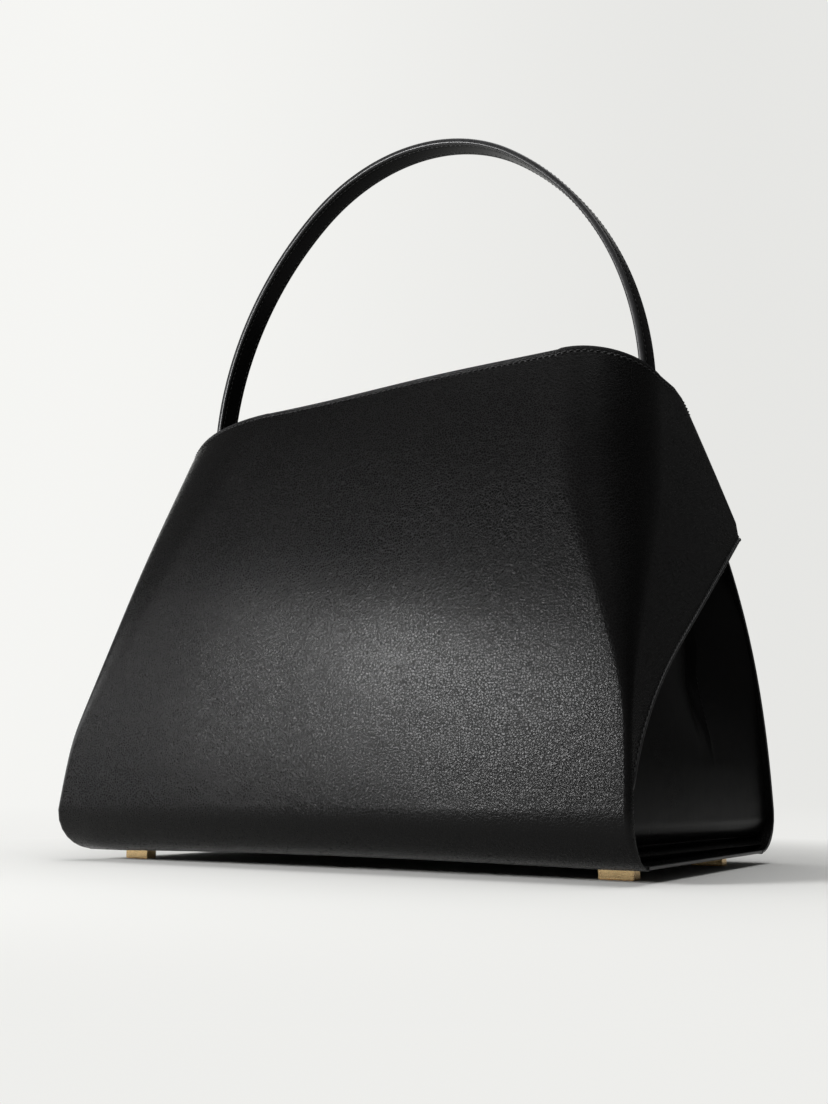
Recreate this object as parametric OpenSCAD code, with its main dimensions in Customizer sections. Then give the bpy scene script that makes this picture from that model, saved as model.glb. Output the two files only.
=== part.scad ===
// Structured leather tote: a front sheet whose side wings wrap both ends, one arched strap handle,
// pleated gussets set back from the edges, four bar feet, a lined cavity and a zipped inner pocket.
// Millimetres. X is the width, front faces -Y, Z is up; the feet stand on z = 0.

/* [Body] */
// Width of the body across its bottom edges
body_w = 348; // [300:2:420]
// Depth of the body at the shoulder of the bottom
body_depth = 202; // [160:2:230]
// Height of the rim at the front
front_rim_z = 255; // [230:1:290]
// How much lower the rim is at the back
rim_fall = 28; // [10:1:32]
// How far the front and back lean in between the shoulder and the mouth
depth_draw = 40; // [20:1:50]
// How far the left end leans in between the shoulder and the mouth
left_draw = 18; // [5:1:30]
// How far the right end leans in between the shoulder and the mouth
right_draw = 9.5; // [5:0.5:30]
// Outer radius of the bottom edges
bottom_round = 22; // [14:1:28]
// How far the middle of the front and back stands proud
panel_bulge = 3; // [0:0.5:6]

/* [Leather] */
// Thickness of the outer leather
leather_t = 1.6; // [1.2:0.1:2]
// Thickness of the gusset leather
gusset_t = 1.2; // [0.8:0.1:1.6]
// Thickness of the inner facing along the rim
facing_t = 1; // [0.8:0.1:1.2]
// Height of the inner facing
facing_h = 28; // [20:1:36]
// Thickness of the lining
lining_t = 0.8; // [0.5:0.1:1]
// Gap left between two layers
layer_gap = 0.3; // [0.2:0.05:0.4]

/* [Wings] */
// Height at which the cut edge leaves the front corner
cut_start_z = 15; // [10:1:26]
// Height at which the cut edge becomes straight
cut_straight_z = 108; // [80:1:115]
// Run of the straight cut towards the back for each unit of rise
cut_run = 1.56; // [1.3:0.01:1.7]
// Overlap of a wing on the back panel
wing_overlap = 16; // [10:1:22]
// Radius along X of the right front corner at the rim
right_round = 35; // [20:1:60]
// Radius along Y of the right front corner at the rim
right_round_depth = 43; // [20:1:50]
// Radius along X of the left front corner at the rim
left_round = 70; // [40:1:90]
// Radius along Y of the left front corner at the rim
left_round_depth = 75; // [40:1:80]
// Radius that the back corners would reach at the height of the front rim
back_round = 78; // [50:1:80]

/* [Gussets] */
// Setback of a gusset from the panel edges
gusset_setback = 14; // [10:1:18]
// Depth of the inward pleat
pleat_depth = 22; // [12:1:26]

/* [Handle] */
// Width of the strap
strap_w = 16; // [14:1:20]
// Thickness of one leather face of the strap
strap_leather_t = 1.2; // [1:0.1:1.4]
// Thickness of the strap's stiff core
strap_core_t = 1.6; // [1.2:0.1:2]
// Distance from the mouth's ends to the middle of the strap's legs
strap_inset = 10.25; // [8:0.25:14]
// Depth of the pivots that hold the legs below the front rim
pivot_drop = 24; // [22:1:30]
// Length of a leg's straight part above its pivot
leg_l = 21; // [10:1:30]
// How much tighter the arch is at its top than half its span
arch_tightening = 29; // [12:1:40]
// Radius of the pivot screws
pivot_r = 2; // [1.5:0.1:2.5]

/* [Feet] */
// Length of a foot bar
foot_l = 17; // [14:1:24]
// Width of a foot bar
foot_w = 7; // [5:0.5:10]
// Height of a foot bar
foot_h = 6; // [4:0.5:8]
// Distance of a foot's middle from the end of the base
foot_inset_x = 24; // [24:1:60]
// Distance of a foot's middle from the front or back shoulder
foot_inset_y = 42; // [30:1:50]
// Thickness of the base board
board_t = 2; // [1.5:0.1:3]

/* [Zipped pocket] */
// Length of the zip
zip_l = 150; // [120:2:180]
// Depth of the zip's middle below the front rim
zip_drop = 83; // [80:1:95]
// Pitch of the teeth on one tape
tooth_pitch = 3.2; // [2.8:0.1:4]
// Depth of the pocket's bag below the zip
bag_h = 100; // [70:1:130]

/* [Hidden] */
$fn = 64;
black = "#17171a";
gold = "#c9a567";
overrun = 1;

// Levels and widths that follow from the sizes above
back_rim_z = front_rim_z - rim_fall;
mouth_depth = body_depth - 2 * depth_draw;
left_mouth = body_w / 2 - left_draw;
right_mouth = body_w / 2 - right_draw;
pivot_z = front_rim_z - pivot_drop;
zip_z = front_rim_z - zip_drop;
feet_span_x = body_w - 2 * foot_inset_x;
feet_span_y = body_depth - 2 * foot_inset_y;
base_z = foot_h;
shoulder_z = base_z + bottom_round;
flat_half_depth = body_depth / 2 - bottom_round;
board_z = base_z + leather_t + layer_gap;
plate_t = 0.8;
rivet_head_t = 0.5;
lining_base_z = board_z + board_t + plate_t + rivet_head_t + layer_gap;
inner_floor_z = lining_base_z + lining_t;

// Depths of the layers behind the outer face
facing_d = leather_t + layer_gap;
lining_front_d = facing_d + facing_t + 2 * layer_gap;
bag_t = 1.2;
lining_back_d = facing_d + bag_t + layer_gap;

// Shares that shape the body
depth_taper_share = 0.4;
left_draw_power = 1.2;
right_draw_power = 2.15;
edge_round = 3;
left_round_start_z = 60;
right_round_end_z = 140;
back_round_start_z = 183;
least_round = 4;
back_edge_draw = 38;
back_edge_power = 2.4;

function mix(a, b, t) = a + (b - a) * t;
function clamp(t) = max(0, min(1, t));
function smooth(t) = let(c = clamp(t)) c * c * (3 - 2 * c);
function span(a, b, n) = [for (i = [0 : n]) mix(a, b, i / n)];

// Outline of the body at height z; side is -1 at the left end and 1 at the right
function rise(z) = (z - shoulder_z) / (front_rim_z - shoulder_z);
function mouth(side) = side < 0 ? left_mouth : right_mouth;
function half_width(z, side) = mix(body_w / 2, mouth(side),
    pow(max(rise(z), 0), side < 0 ? left_draw_power : right_draw_power));
function taper(z) = depth_taper_share * rise(z) + (1 - depth_taper_share) * pow(rise(z), 2);
function half_depth(z, d = 0) = z < shoulder_z
    ? flat_half_depth + sqrt(max(pow(bottom_round - d, 2) - pow(shoulder_z - z, 2), 0))
    : mix(body_depth, mouth_depth, taper(z)) / 2 - d;
function front_rx(z, side) = side < 0
    ? mix(edge_round, left_round, clamp((z - left_round_start_z) / (front_rim_z - left_round_start_z)))
    : mix(edge_round, right_round, smooth((z - shoulder_z) / (right_round_end_z - shoulder_z)));
function front_ry(z, side) = min(2 * half_depth(z) - back_r(z) - least_round / 2,
    front_rx(z, side) * (side < 0 ? left_round_depth / left_round : right_round_depth / right_round));
function back_r(z) = max(least_round,
    back_round * clamp((z - back_round_start_z) / (front_rim_z - back_round_start_z)));
function rim_z(y) = mix(front_rim_z, back_rim_z, clamp(y / mouth_depth + 1 / 2));
function bulge(x, z) = panel_bulge * sin(180 * clamp(rise(z)))
    * pow(max(1 - pow(x / half_width(z, x < 0 ? -1 : 1), 2), 0), 2);
function bulged(p, z) = [p[0], p[1] + sign(p[1]) * bulge(p[0], z), z];

// Point on the plan outline of an end. st runs 0 to 1 round the front corner, to 2 along the end,
// to 3 round the back corner and to 4 along the back. d is the depth below the face of the front,
// the end and the back.
function end_pt(z, side, st, d) =
    let(a = half_width(z, side) - d[1], bf = half_depth(z, 0) - d[0], bb = half_depth(z, 0) - d[2],
        least = edge_round / 4,
        rx = max(front_rx(z, side) - (d[0] + d[1]) / 2, least),
        ry = max(front_ry(z, side) - (d[0] + d[1]) / 2, least),
        rb = max(back_r(z) - (d[1] + d[2]) / 2, least),
        x = st < 1 ? a - rx * (1 - sin(90 * st)) : st < 2 ? a
            : st < 3 ? a - rb * (1 - cos(90 * (st - 2))) : a - rb - wing_overlap * (st - 3),
        y = st < 1 ? -bf + ry * (1 - cos(90 * st)) : st < 2 ? mix(-bf + ry, bb - rb, st - 1)
            : st < 3 ? bb - rb * (1 - sin(90 * (st - 2))) : bb)
    [side * x, y];

// Front face of the layer at depth d below the outer face, at a signed x
function front_y(z, x, d) =
    let(side = x < 0 ? -1 : 1, a = half_width(z, side) - d, rx = max(front_rx(z, side) - d, edge_round / 4),
        ry = max(front_ry(z, side) - d, edge_round / 4), s = clamp((abs(x) - (a - rx)) / rx))
    -half_depth(z, d) + ry * (1 - sqrt(1 - s * s));

// Cut edge of a wing: a parabola from the front corner, then a straight diagonal
cut_k = cut_run / (2 * (cut_straight_z - cut_start_z));
cut_straight_y = -body_depth / 2 + cut_k * pow(cut_straight_z - cut_start_z, 2);
function cut_z(y) = y < cut_straight_y
    ? cut_start_z + sqrt(max(y + body_depth / 2, 0) / cut_k)
    : cut_straight_z + (y - cut_straight_y) / cut_run;
outer_d = [0, 0, -facing_d];
// Height at which the cut edge reaches the back, found by going to and fro between the two curves
function tip_height(z, n = 16) = n == 0 ? z : tip_height(cut_z(half_depth(z)), n - 1);
tip_z = tip_height(front_rim_z);
function wing_low(side, st, z, n = 8) = n == 0 ? z
    : wing_low(side, st, max(cut_z(end_pt(z, side, min(st, 3), outer_d)[1]), shoulder_z), n - 1);
function wing_start(side, st) = wing_low(side, st, (shoulder_z + front_rim_z) / 2)
    + max(st - 3, 0) * wing_overlap / cut_run;

// Half width of the back panel, which stays on the flat part of the back under the wings
function back_half(z, side) = min(body_w / 2 - back_edge_draw * pow(max(rise(z), 0), back_edge_power),
    z < tip_z ? body_w : half_width(z, side) - back_r(z));

// Edges of a gusset and its pleat
pleat_top_z = tip_z;
pleat_full_z = 110;
gusset_top_z = front_rim_z - facing_h - layer_gap * 3;
pleat_share = 0.55;
gusset_foot_tuck = 1;
least_setback = 4;
function setback(z) = mix(gusset_setback, least_setback, smooth((z - pleat_top_z) / (gusset_top_z - pleat_top_z)))
    + gusset_foot_tuck * (1 - smooth((z - board_z) / (shoulder_z - board_z)));
function gusset_front_x(z, side) = half_width(z, side) - setback(z);
function gusset_back_x(z, side) = min(gusset_front_x(z, side), back_half(z, side) - setback(z) / 2);
function pleat(z) = pleat_depth * smooth((z - shoulder_z) / (pleat_full_z - shoulder_z))
    * (1 - smooth((z - pleat_top_z) / (gusset_top_z - pleat_top_z)));
gusset_edge_d = facing_d + layer_gap;
function gusset_pt(z, side, v, d, inset) =
    let(xf = gusset_front_x(z, side), xb = gusset_back_x(z, side),
        yf = front_y(z, side * xf, gusset_edge_d), yb = half_depth(z, gusset_edge_d),
        edge = inset / (yb - yf), w = max(min(v, 1 - edge), edge),
        fold = w < pleat_share ? w / pleat_share : (1 - w) / (1 - pleat_share))
    [side * (mix(xf, xb, w) - pleat(z) * fold - d), mix(yf, yb, w), z];
function gusset_top(side, v, lap) = rim_z(gusset_pt(gusset_top_z, side, v, 0, 0)[1]) - facing_h + lap;

// Solid between two grids of points of the same size. keep(i, j) says which cells it has, and a
// ring closes on itself along i.
module sheet(top, under, keep = function(i, j) true, ring = false, flip = false) {
    nu = len(top);
    nv = len(top[0]);
    cells_u = ring ? nu : nu - 1;
    at = function(i, j, k) (k * nu + i % nu) * nv + j;
    has = function(i, j) (ring || (i >= 0 && i < cells_u)) && j >= 0 && j < nv - 1
        && keep((i + nu) % nu, j);
    turn = function(f) flip ? f : [f[2], f[1], f[0]];
    strip = function(a, b) [[b[0], a[0], a[1]], [b[0], a[1], b[1]]];
    faces = [for (i = [0 : cells_u - 1], j = [0 : nv - 2]) if (has(i, j))
        let(a = [at(i, j, 0), at(i, j, 1)], b = [at(i + 1, j, 0), at(i + 1, j, 1)],
            c = [at(i + 1, j + 1, 0), at(i + 1, j + 1, 1)], e = [at(i, j + 1, 0), at(i, j + 1, 1)])
        each concat(
            [[a[0], b[0], c[0]], [a[0], c[0], e[0]], [c[1], b[1], a[1]], [e[1], c[1], a[1]]],
            has(i, j - 1) ? [] : strip(a, b), has(i + 1, j) ? [] : strip(b, c),
            has(i, j + 1) ? [] : strip(c, e), has(i - 1, j) ? [] : strip(e, a))];
    used = [for (f = faces) each f];
    polyhedron(points = [for (g = [top, under], column = g) each column],
        faces = [for (f = faces) turn(f)]);
}

// Stations of the front sheet: [side, station] on a wing, [0, share] across the front
front_cols = 16;
corner_stations = span(0, 1, 8);
wing_crowding = 1.6;
back_corner_stations = [for (s = span(2, 3, 6)) if (s > 2) s];
wing_stations = concat(corner_stations, [for (s = span(0, 1, 11)) if (s > 0) 1 + pow(s, wing_crowding)],
    back_corner_stations, [4]);
wing_n = len(wing_stations);
bottom_first = wing_n - len(corner_stations);
sheet_cols = concat(
    [for (i = [wing_n - 1 : -1 : 0]) [-1, wing_stations[i]]],
    [for (i = [1 : front_cols - 1]) [0, i / front_cols]],
    [for (s = wing_stations) [1, s]]);
arc_rows = 6;
wall_rows = 14;

function front_face_x(z, share) = mix(-half_width(z, -1) + front_rx(z, -1),
    half_width(z, 1) - front_rx(z, 1), share);
function sheet_pt(col, z, d) = col[0] == 0 ? [front_face_x(z, col[1]), -half_depth(z) + d[0]]
    : end_pt(z, col[0], col[1], d);
// Round the bottom edge, from the seam under the base up to the shoulder
function bottom_pt(col, angle, d) =
    let(p = sheet_pt([col[0], col[0] == 0 ? col[1] : min(col[1], 1)], shoulder_z, d))
    [p[0], -flat_half_depth + (p[1] + flat_half_depth) * sin(angle),
     shoulder_z - (bottom_round - d[0]) * cos(angle)];
function wall_pt(col, low, share, d) =
    let(top = rim_z(col[0] == 0 ? -mouth_depth / 2 : end_pt(front_rim_z, col[0], col[1], outer_d)[1]),
        z = mix(low, top, share))
    bulged(sheet_pt(col, z, d), z);
function front_grid(d) = [for (col = sheet_cols)
    let(low = col[0] == 0 ? shoulder_z : wing_start(col[0], col[1]))
    concat([for (i = [0 : arc_rows - 1]) bottom_pt(col, 90 * i / arc_rows, d)],
        [for (i = [0 : wall_rows]) wall_pt(col, low, i / wall_rows, d)])];

module front_panel() {
    color(black) sheet(front_grid(outer_d), front_grid([leather_t, leather_t, -layer_gap]),
        keep = function(i, j) j >= arc_rows || (i >= bottom_first && i < len(sheet_cols) - 1 - bottom_first));
}

// Back panel: bottom edge, then the leaning wall
back_cols = 12;
function back_grid(d) = [for (u = span(-1, 1, back_cols))
    let(side = u < 0 ? -1 : 1)
    concat([for (i = [0 : arc_rows - 1]) let(angle = 90 * i / arc_rows)
            [u * body_w / 2, flat_half_depth + (bottom_round - d) * sin(angle),
             shoulder_z - (bottom_round - d) * cos(angle)]],
        [for (i = [0 : wall_rows]) let(z = mix(shoulder_z, back_rim_z, i / wall_rows),
            x = u * back_half(z, side))
            bulged([x, half_depth(z) - d], z)])];

module back_panel() {
    color(black) sheet(back_grid(0), back_grid(leather_t), flip = true);
}

// Base: an outer leather plate, a board and a lining, all pierced by the prongs of the feet
prong_r = 1.1;
prong_span = foot_l * 0.4;
prong_clearance = 0.15;
module at_feet() for (x = [-1, 1], y = [-1, 1])
    translate([x * feet_span_x / 2, y * feet_span_y / 2, 0]) children();
module plate(l, w, z, t) translate([-l / 2, -w / 2, z]) cube([l, w, t]);
module prong_holes() at_feet() for (s = [-1, 1]) translate([s * prong_span / 2, 0, 0])
    cylinder(r = prong_r + prong_clearance, h = inner_floor_z);

module base_panel() color(black) difference() {
    plate(body_w, 2 * flat_half_depth, base_z, leather_t);
    prong_holes();
}

board_l = body_w - 2 * (gusset_setback + gusset_foot_tuck + gusset_t + layer_gap * 4);
module base_board() color("#6b5a45") difference() {
    plate(board_l, 2 * flat_half_depth, board_z, board_t);
    prong_holes();
}

module foot_plates() color("#8b8d90") difference() {
    at_feet() plate(foot_l - 4 * prong_r, foot_w - prong_r, board_z + board_t, plate_t);
    prong_holes();
}

module lining_base() color("#26262a")
    plate(board_l, 2 * half_depth(lining_base_z, lining_back_d), lining_base_z, lining_t);

// Foot: a bar with eased lower edges and two prongs riveted over the plates
foot_ease = 0.7;
module foot(x, y) color(gold) translate([x * feet_span_x / 2, y * feet_span_y / 2, 0]) {
    difference() {
        plate(foot_l, foot_w, 0, foot_h);
        for (s = [-1, 1]) translate([-foot_l / 2 - overrun, s * foot_w / 2, 0]) rotate([45, 0, 0])
            translate([0, -foot_ease / 2, -foot_ease / 2]) cube([foot_l + 2 * overrun, foot_ease, foot_ease]);
        for (s = [-1, 1]) translate([s * foot_l / 2, -foot_w / 2 - overrun, 0]) rotate([0, 45, 0])
            translate([-foot_ease / 2, 0, -foot_ease / 2]) cube([foot_ease, foot_w + 2 * overrun, foot_ease]);
    }
    for (s = [-1, 1]) translate([s * prong_span / 2, 0, foot_h / 2]) {
        cylinder(r = prong_r, h = board_z + board_t + plate_t - foot_h / 2);
        translate([0, 0, board_z + board_t + plate_t - foot_h / 2])
            cylinder(r = prong_r + rivet_head_t, h = rivet_head_t);
    }
}
module foot_front_left() foot(-1, -1);
module foot_front_right() foot(1, -1);
module foot_back_left() foot(-1, 1);
module foot_back_right() foot(1, 1);

// Gussets and the linings of the ends
gusset_cols = 10;
arc_steps = 4;
function climb(low, top, n) = concat(
    [for (i = [0 : arc_steps - 1]) let(angle = mix(acos((shoulder_z - low) / bottom_round), 90, i / arc_steps))
        shoulder_z - bottom_round * cos(angle)],
    span(shoulder_z, top, n));
wall_steps = 10;
function gusset_shares() = concat([for (v = span(0, pleat_share, gusset_cols / 2)) v],
    [for (v = span(pleat_share, 1, gusset_cols / 2)) if (v > pleat_share) v]);
function gusset_grid(side, low, d, inset, lap) = [for (v = gusset_shares())
    let(levels = climb(board_z, gusset_top(side, v, -6 * layer_gap), wall_steps), last = len(levels) - 1)
    [for (i = [0 : last]) if (levels[i] > low || i == 0)
        gusset_pt(max(levels[i], low) + (i < last ? 0 : lap), side, v, d, inset)]];
module gusset(side) color(black) sheet(gusset_grid(side, board_z, 0, 0, 0),
    gusset_grid(side, board_z, gusset_t, 0, 0), flip = side < 0);
module gusset_left() gusset(-1);
module gusset_right() gusset(1);

end_lining_d = gusset_t + 2 * layer_gap;
lining_lap = 4 * layer_gap;
end_lining_lap = 11 * layer_gap;
lining_inset = lining_back_d + lining_t + 2 * layer_gap - gusset_edge_d;
module end_lining(side) color("#26262a")
    sheet(gusset_grid(side, inner_floor_z + layer_gap, end_lining_d, lining_inset, end_lining_lap),
        gusset_grid(side, inner_floor_z + layer_gap, end_lining_d + lining_t, lining_inset, end_lining_lap),
        flip = side < 0);
module lining_left() end_lining(-1);
module lining_right() end_lining(1);

// Linings of the front and back walls, out to just inside the gussets
lining_cols = 14;
lining_side_gap = 2.9;
function lining_grid(front, d, low, top) = [for (u = span(-1, 1, lining_cols))
    let(side = u < 0 ? -1 : 1)
    [for (z = climb(low, top, wall_steps))
        let(reach = (front ? gusset_front_x(z, side) : gusset_back_x(z, side)) - lining_side_gap,
            x = sin(90 * u) * reach)
        [x, front ? front_y(z, x, d) : half_depth(z, d), z]]];
module lining_front() color("#26262a")
    sheet(lining_grid(true, lining_front_d, inner_floor_z + layer_gap, front_rim_z - facing_h + lining_lap),
        lining_grid(true, lining_front_d + lining_t, inner_floor_z + layer_gap, front_rim_z - facing_h + lining_lap));
slot_h = 4;
module lining_back() color("#26262a") difference() {
    sheet(lining_grid(false, lining_back_d, inner_floor_z + layer_gap, back_rim_z - facing_h + lining_lap),
        lining_grid(false, lining_back_d + lining_t, inner_floor_z + layer_gap, back_rim_z - facing_h + lining_lap), flip = true);
    on_zip() translate([-zip_l / 2, -lining_t * 4, -slot_h / 2]) cube([zip_l, lining_t * 8, slot_h]);
}

// Facing: a band of leather round the inside of the rim
facing_stations = concat(corner_stations, [for (s = span(1, 2, 3)) if (s > 1) s], back_corner_stations);
facing_cols = concat(
    [for (i = [len(facing_stations) - 1 : -1 : 0]) [-1, facing_stations[i]]],
    [for (i = [1 : front_cols / 2 - 1]) [0, 2 * i / front_cols]],
    [for (s = facing_stations) [1, s]],
    [for (i = [1 : front_cols / 2 - 1]) [2, 2 * i / front_cols]]);
function back_face_x(z, share) = mix(half_width(z, 1) - back_r(z), -half_width(z, -1) + back_r(z), share);
function facing_pt(col, below, d) =
    let(flat_y = col[0] == 0 ? -mouth_depth / 2 : mouth_depth / 2,
        y = abs(col[0]) == 1 ? end_pt(front_rim_z, col[0], col[1], d)[1] : flat_y,
        z = rim_z(y) - layer_gap - below,
        p = abs(col[0]) == 1 ? end_pt(z, col[0], col[1], d)
            : col[0] == 0 ? [front_face_x(z, col[1]), -half_depth(z) + d[0]]
            : [back_face_x(z, col[1]), half_depth(z) - d[2]])
    [p[0], p[1], z];
function facing_grid(d) = [for (col = facing_cols) [for (below = span(facing_h, 0, 2)) facing_pt(col, below, d)]];
module rim_facing() color("#1d1d20") sheet(facing_grid(facing_d * [1, 1, 1]),
    facing_grid((facing_d + facing_t) * [1, 1, 1]), ring = true);

// Inner leather of each wing, behind its cut edge
wing_lining_margin = 3;
wing_lining_stations = [for (s = wing_stations) if (s > 1 && s <= 3) s];
function wing_lining_grid(side, d) = [for (st = wing_lining_stations)
    let(low = wing_start(side, st) + wing_lining_margin,
        top = rim_z(end_pt(front_rim_z, side, st, outer_d)[1]) - facing_h - 3 * layer_gap)
    [for (share = span(0, 1, 4)) let(z = mix(low, max(top, low + wing_lining_margin), share),
        p = end_pt(z, side, st, [d, d, d]))
        [p[0], p[1], z]]];
wing_lining_t = facing_t;
module wing_lining(side) color("#1d1d20")
    sheet(wing_lining_grid(side, facing_d), wing_lining_grid(side, facing_d + wing_lining_t), flip = side < 0);
module wing_lining_left() wing_lining(-1);
module wing_lining_right() wing_lining(1);

// Handle: three layers swept along two side arcs and a top arc, with straight legs to the pivots
strap_t = 2 * strap_leather_t + strap_core_t;
strap_left_shift = 3.75;
strap_x = (right_mouth - left_mouth) / 2 - strap_left_shift;
arch_half = (left_mouth + right_mouth) / 2 - strap_inset;
arch_top_r = arch_half - arch_tightening;
// The arcs meet where their common radius slopes 4 up for 3 along
join_slope_share = 4 / 3;
arch_angle = atan(join_slope_share);
arch_centre_up = arch_tightening / tan(arch_angle / 2);
arch_side_r = arch_top_r + arch_centre_up / sin(arch_angle);
bore_clearance = 0.05;
arch_lap = 1;
leg_lap = 1;

// One layer: from is its inner face and to its outer face, measured from the centre line
module strap_layer(from, to, width) {
    module slab(r) translate([r + from, -width / 2]) square([to - from, width]);
    difference() {
        translate([strap_x, 0, pivot_z]) {
            for (s = [0, 1]) mirror([s, 0, 0]) {
                translate([arch_half - arch_side_r, 0, leg_l]) rotate([90, 0, 0]) rotate([0, 0, arch_angle])
                    rotate_extrude(angle = -arch_angle, $fn = 180) slab(arch_side_r);
                translate([0, 0, leg_l + arch_centre_up]) rotate([90, 0, 0]) rotate([0, 0, arch_angle])
                    rotate_extrude(angle = 90 - arch_angle + arch_lap, $fn = 180) slab(arch_top_r);
                translate([arch_half + from, 0, 0]) rotate([0, 90, 0]) cylinder(r = width / 2, h = to - from);
                translate([arch_half + from, -width / 2, 0]) cube([to - from, width, leg_l + leg_lap]);
            }
        }
        translate([-body_w / 2, 0, pivot_z]) rotate([0, 90, 0]) cylinder(r = pivot_r + bore_clearance, h = body_w);
    }
}
module handle_outer() color(black) strap_layer(strap_core_t / 2, strap_t / 2, strap_w);
module handle_core() color("#4a4a4c") strap_layer(-strap_core_t / 2, strap_core_t / 2, strap_w - 2 * layer_gap);
module handle_inner() color(black) strap_layer(-strap_t / 2, -strap_core_t / 2, strap_w);

// Anchor block on the facing beside each leg, sloped to the end wall, and the screw it holds
anchor_w = 14;
anchor_below = 7;
anchor_above = 6;
screw_head_r = 4;
screw_head_t = 1.2;
thread_depth = 2;
running_gap = 0.2;
function leg_x(side) = strap_x + side * arch_half;
function wall_in_x(z, side) = let(p = facing_in_y(z, side)) half_width(z, side) - facing_d - facing_t - layer_gap - p;
function facing_in_y(z, side) = let(rx = front_rx(z, side), s = clamp((anchor_w / 2 - half_depth(z)
    + front_ry(z, side)) / front_ry(z, side))) rx * (1 - sqrt(1 - s * s));
module anchor(side) color(black) {
    inner = abs(leg_x(side)) + strap_t / 2 + running_gap;
    low = pivot_z - anchor_below;
    high = pivot_z + anchor_above;
    difference() {
        rotate([90, 0, 0]) translate([0, 0, -anchor_w / 2]) linear_extrude(height = anchor_w)
            polygon([for (p = [[inner, low], [wall_in_x(low, side), low], [wall_in_x(high, side), high],
                [inner, high]]) [side * p[0], p[1]]]);
        translate([side * (inner - overrun), 0, pivot_z]) rotate([0, side * 90, 0])
            cylinder(r = pivot_r, h = thread_depth + overrun);
    }
}
module handle_anchor_left() anchor(-1);
module handle_anchor_right() anchor(1);
module pivot_screw(side) color("#b9bbbf") {
    head = abs(leg_x(side)) - strap_t / 2 - running_gap;
    translate([side * head, 0, pivot_z]) rotate([0, side * 90, 0]) {
        cylinder(r = pivot_r, h = strap_t + 2 * running_gap + thread_depth);
        translate([0, 0, -screw_head_t]) difference() {
            cylinder(r = screw_head_r, h = screw_head_t);
            translate([-screw_head_r - overrun, -pivot_r / 4, -overrun])
                cube([2 * (screw_head_r + overrun), pivot_r / 2, overrun + screw_head_t / 2]);
        }
    }
}
module pivot_screw_left() pivot_screw(-1);
module pivot_screw_right() pivot_screw(1);

// Zip on the back lining. Its frame: x along the zip, z up the leaning wall, y into the wall.
wall_step = 1;
wall_lean = atan2(half_depth(zip_z - wall_step) - half_depth(zip_z + wall_step), 2 * wall_step);
zip_y = half_depth(zip_z, lining_back_d + lining_t);
tape_w = 12;
tape_t = 0.6;
tooth_t = 1.3;
tooth_reach = 2.6;
tooth_lap = 0.9;
chain_gap = 0.8;
stop_l = 3;
module on_zip() translate([0, zip_y, zip_z]) rotate([wall_lean, 0, 0]) children();
tape_y = -layer_gap - tape_t;
tooth_y = tape_y - tooth_t;

module zip_tapes() color("#202024") on_zip() for (s = [0, 1]) mirror([0, 0, s])
    translate([-zip_l / 2 - tape_w / 2, tape_y, chain_gap]) cube([zip_l + tape_w, tape_t, tape_w]);
teeth_half_count = floor((zip_l - 2 * stop_l - tooth_pitch) / 2 / tooth_pitch);
tooth_w = tooth_pitch / 2 - chain_gap / 4;
module zip_teeth() color(gold) on_zip() for (i = [-teeth_half_count : teeth_half_count]) {
    translate([i * tooth_pitch - tooth_pitch / 4 - tooth_w / 2, tooth_y, -tooth_lap])
        cube([tooth_w, tooth_t, tooth_reach + tooth_lap]);
    translate([i * tooth_pitch + tooth_pitch / 4 - tooth_w / 2, tooth_y, -tooth_reach])
        cube([tooth_w, tooth_t, tooth_reach + tooth_lap]);
}
module zip_stops() color(gold) on_zip() for (s = [-1, 1])
    translate([s * (zip_l / 2 - stop_l / 2) - stop_l / 2, tooth_y, -tooth_reach])
        cube([stop_l, tooth_t, 2 * tooth_reach]);

// Slider: a plate over the teeth with two side walls and a lug, at the closed end
slider_l = 10;
slider_wall = 0.9;
slider_play = 0.35;
lug_l = 4;
pin_r = 0.7;
pin_play = 0.08;
slider_x = zip_l / 2 - stop_l - slider_l / 2 - slider_play;
slider_half_w = tooth_reach + slider_play + slider_wall;
slider_top_y = tooth_y - slider_play - slider_wall;
pin_y = slider_top_y - pin_r - slider_wall;
module zip_slider() color(gold) on_zip() translate([slider_x, 0, 0]) {
    difference() {
        translate([-slider_l / 2, slider_top_y, -slider_half_w])
            cube([slider_l, tape_y - slider_play - slider_top_y, 2 * slider_half_w]);
        translate([-slider_l / 2 - overrun, tooth_y - slider_play, -tooth_reach - slider_play])
            cube([slider_l + 2 * overrun, tooth_t + tape_t + slider_play, 2 * (tooth_reach + slider_play)]);
    }
    difference() {
        union() {
            translate([-lug_l / 2, pin_y, -pin_r - slider_wall])
                cube([lug_l, slider_top_y - pin_y, 2 * (pin_r + slider_wall)]);
            translate([-lug_l / 2, pin_y, 0]) rotate([0, 90, 0]) cylinder(r = pin_r + slider_wall, h = lug_l);
        }
        translate([-lug_l, pin_y, 0]) rotate([0, 90, 0]) cylinder(r = pin_r + pin_play, h = 2 * lug_l);
    }
}

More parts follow.
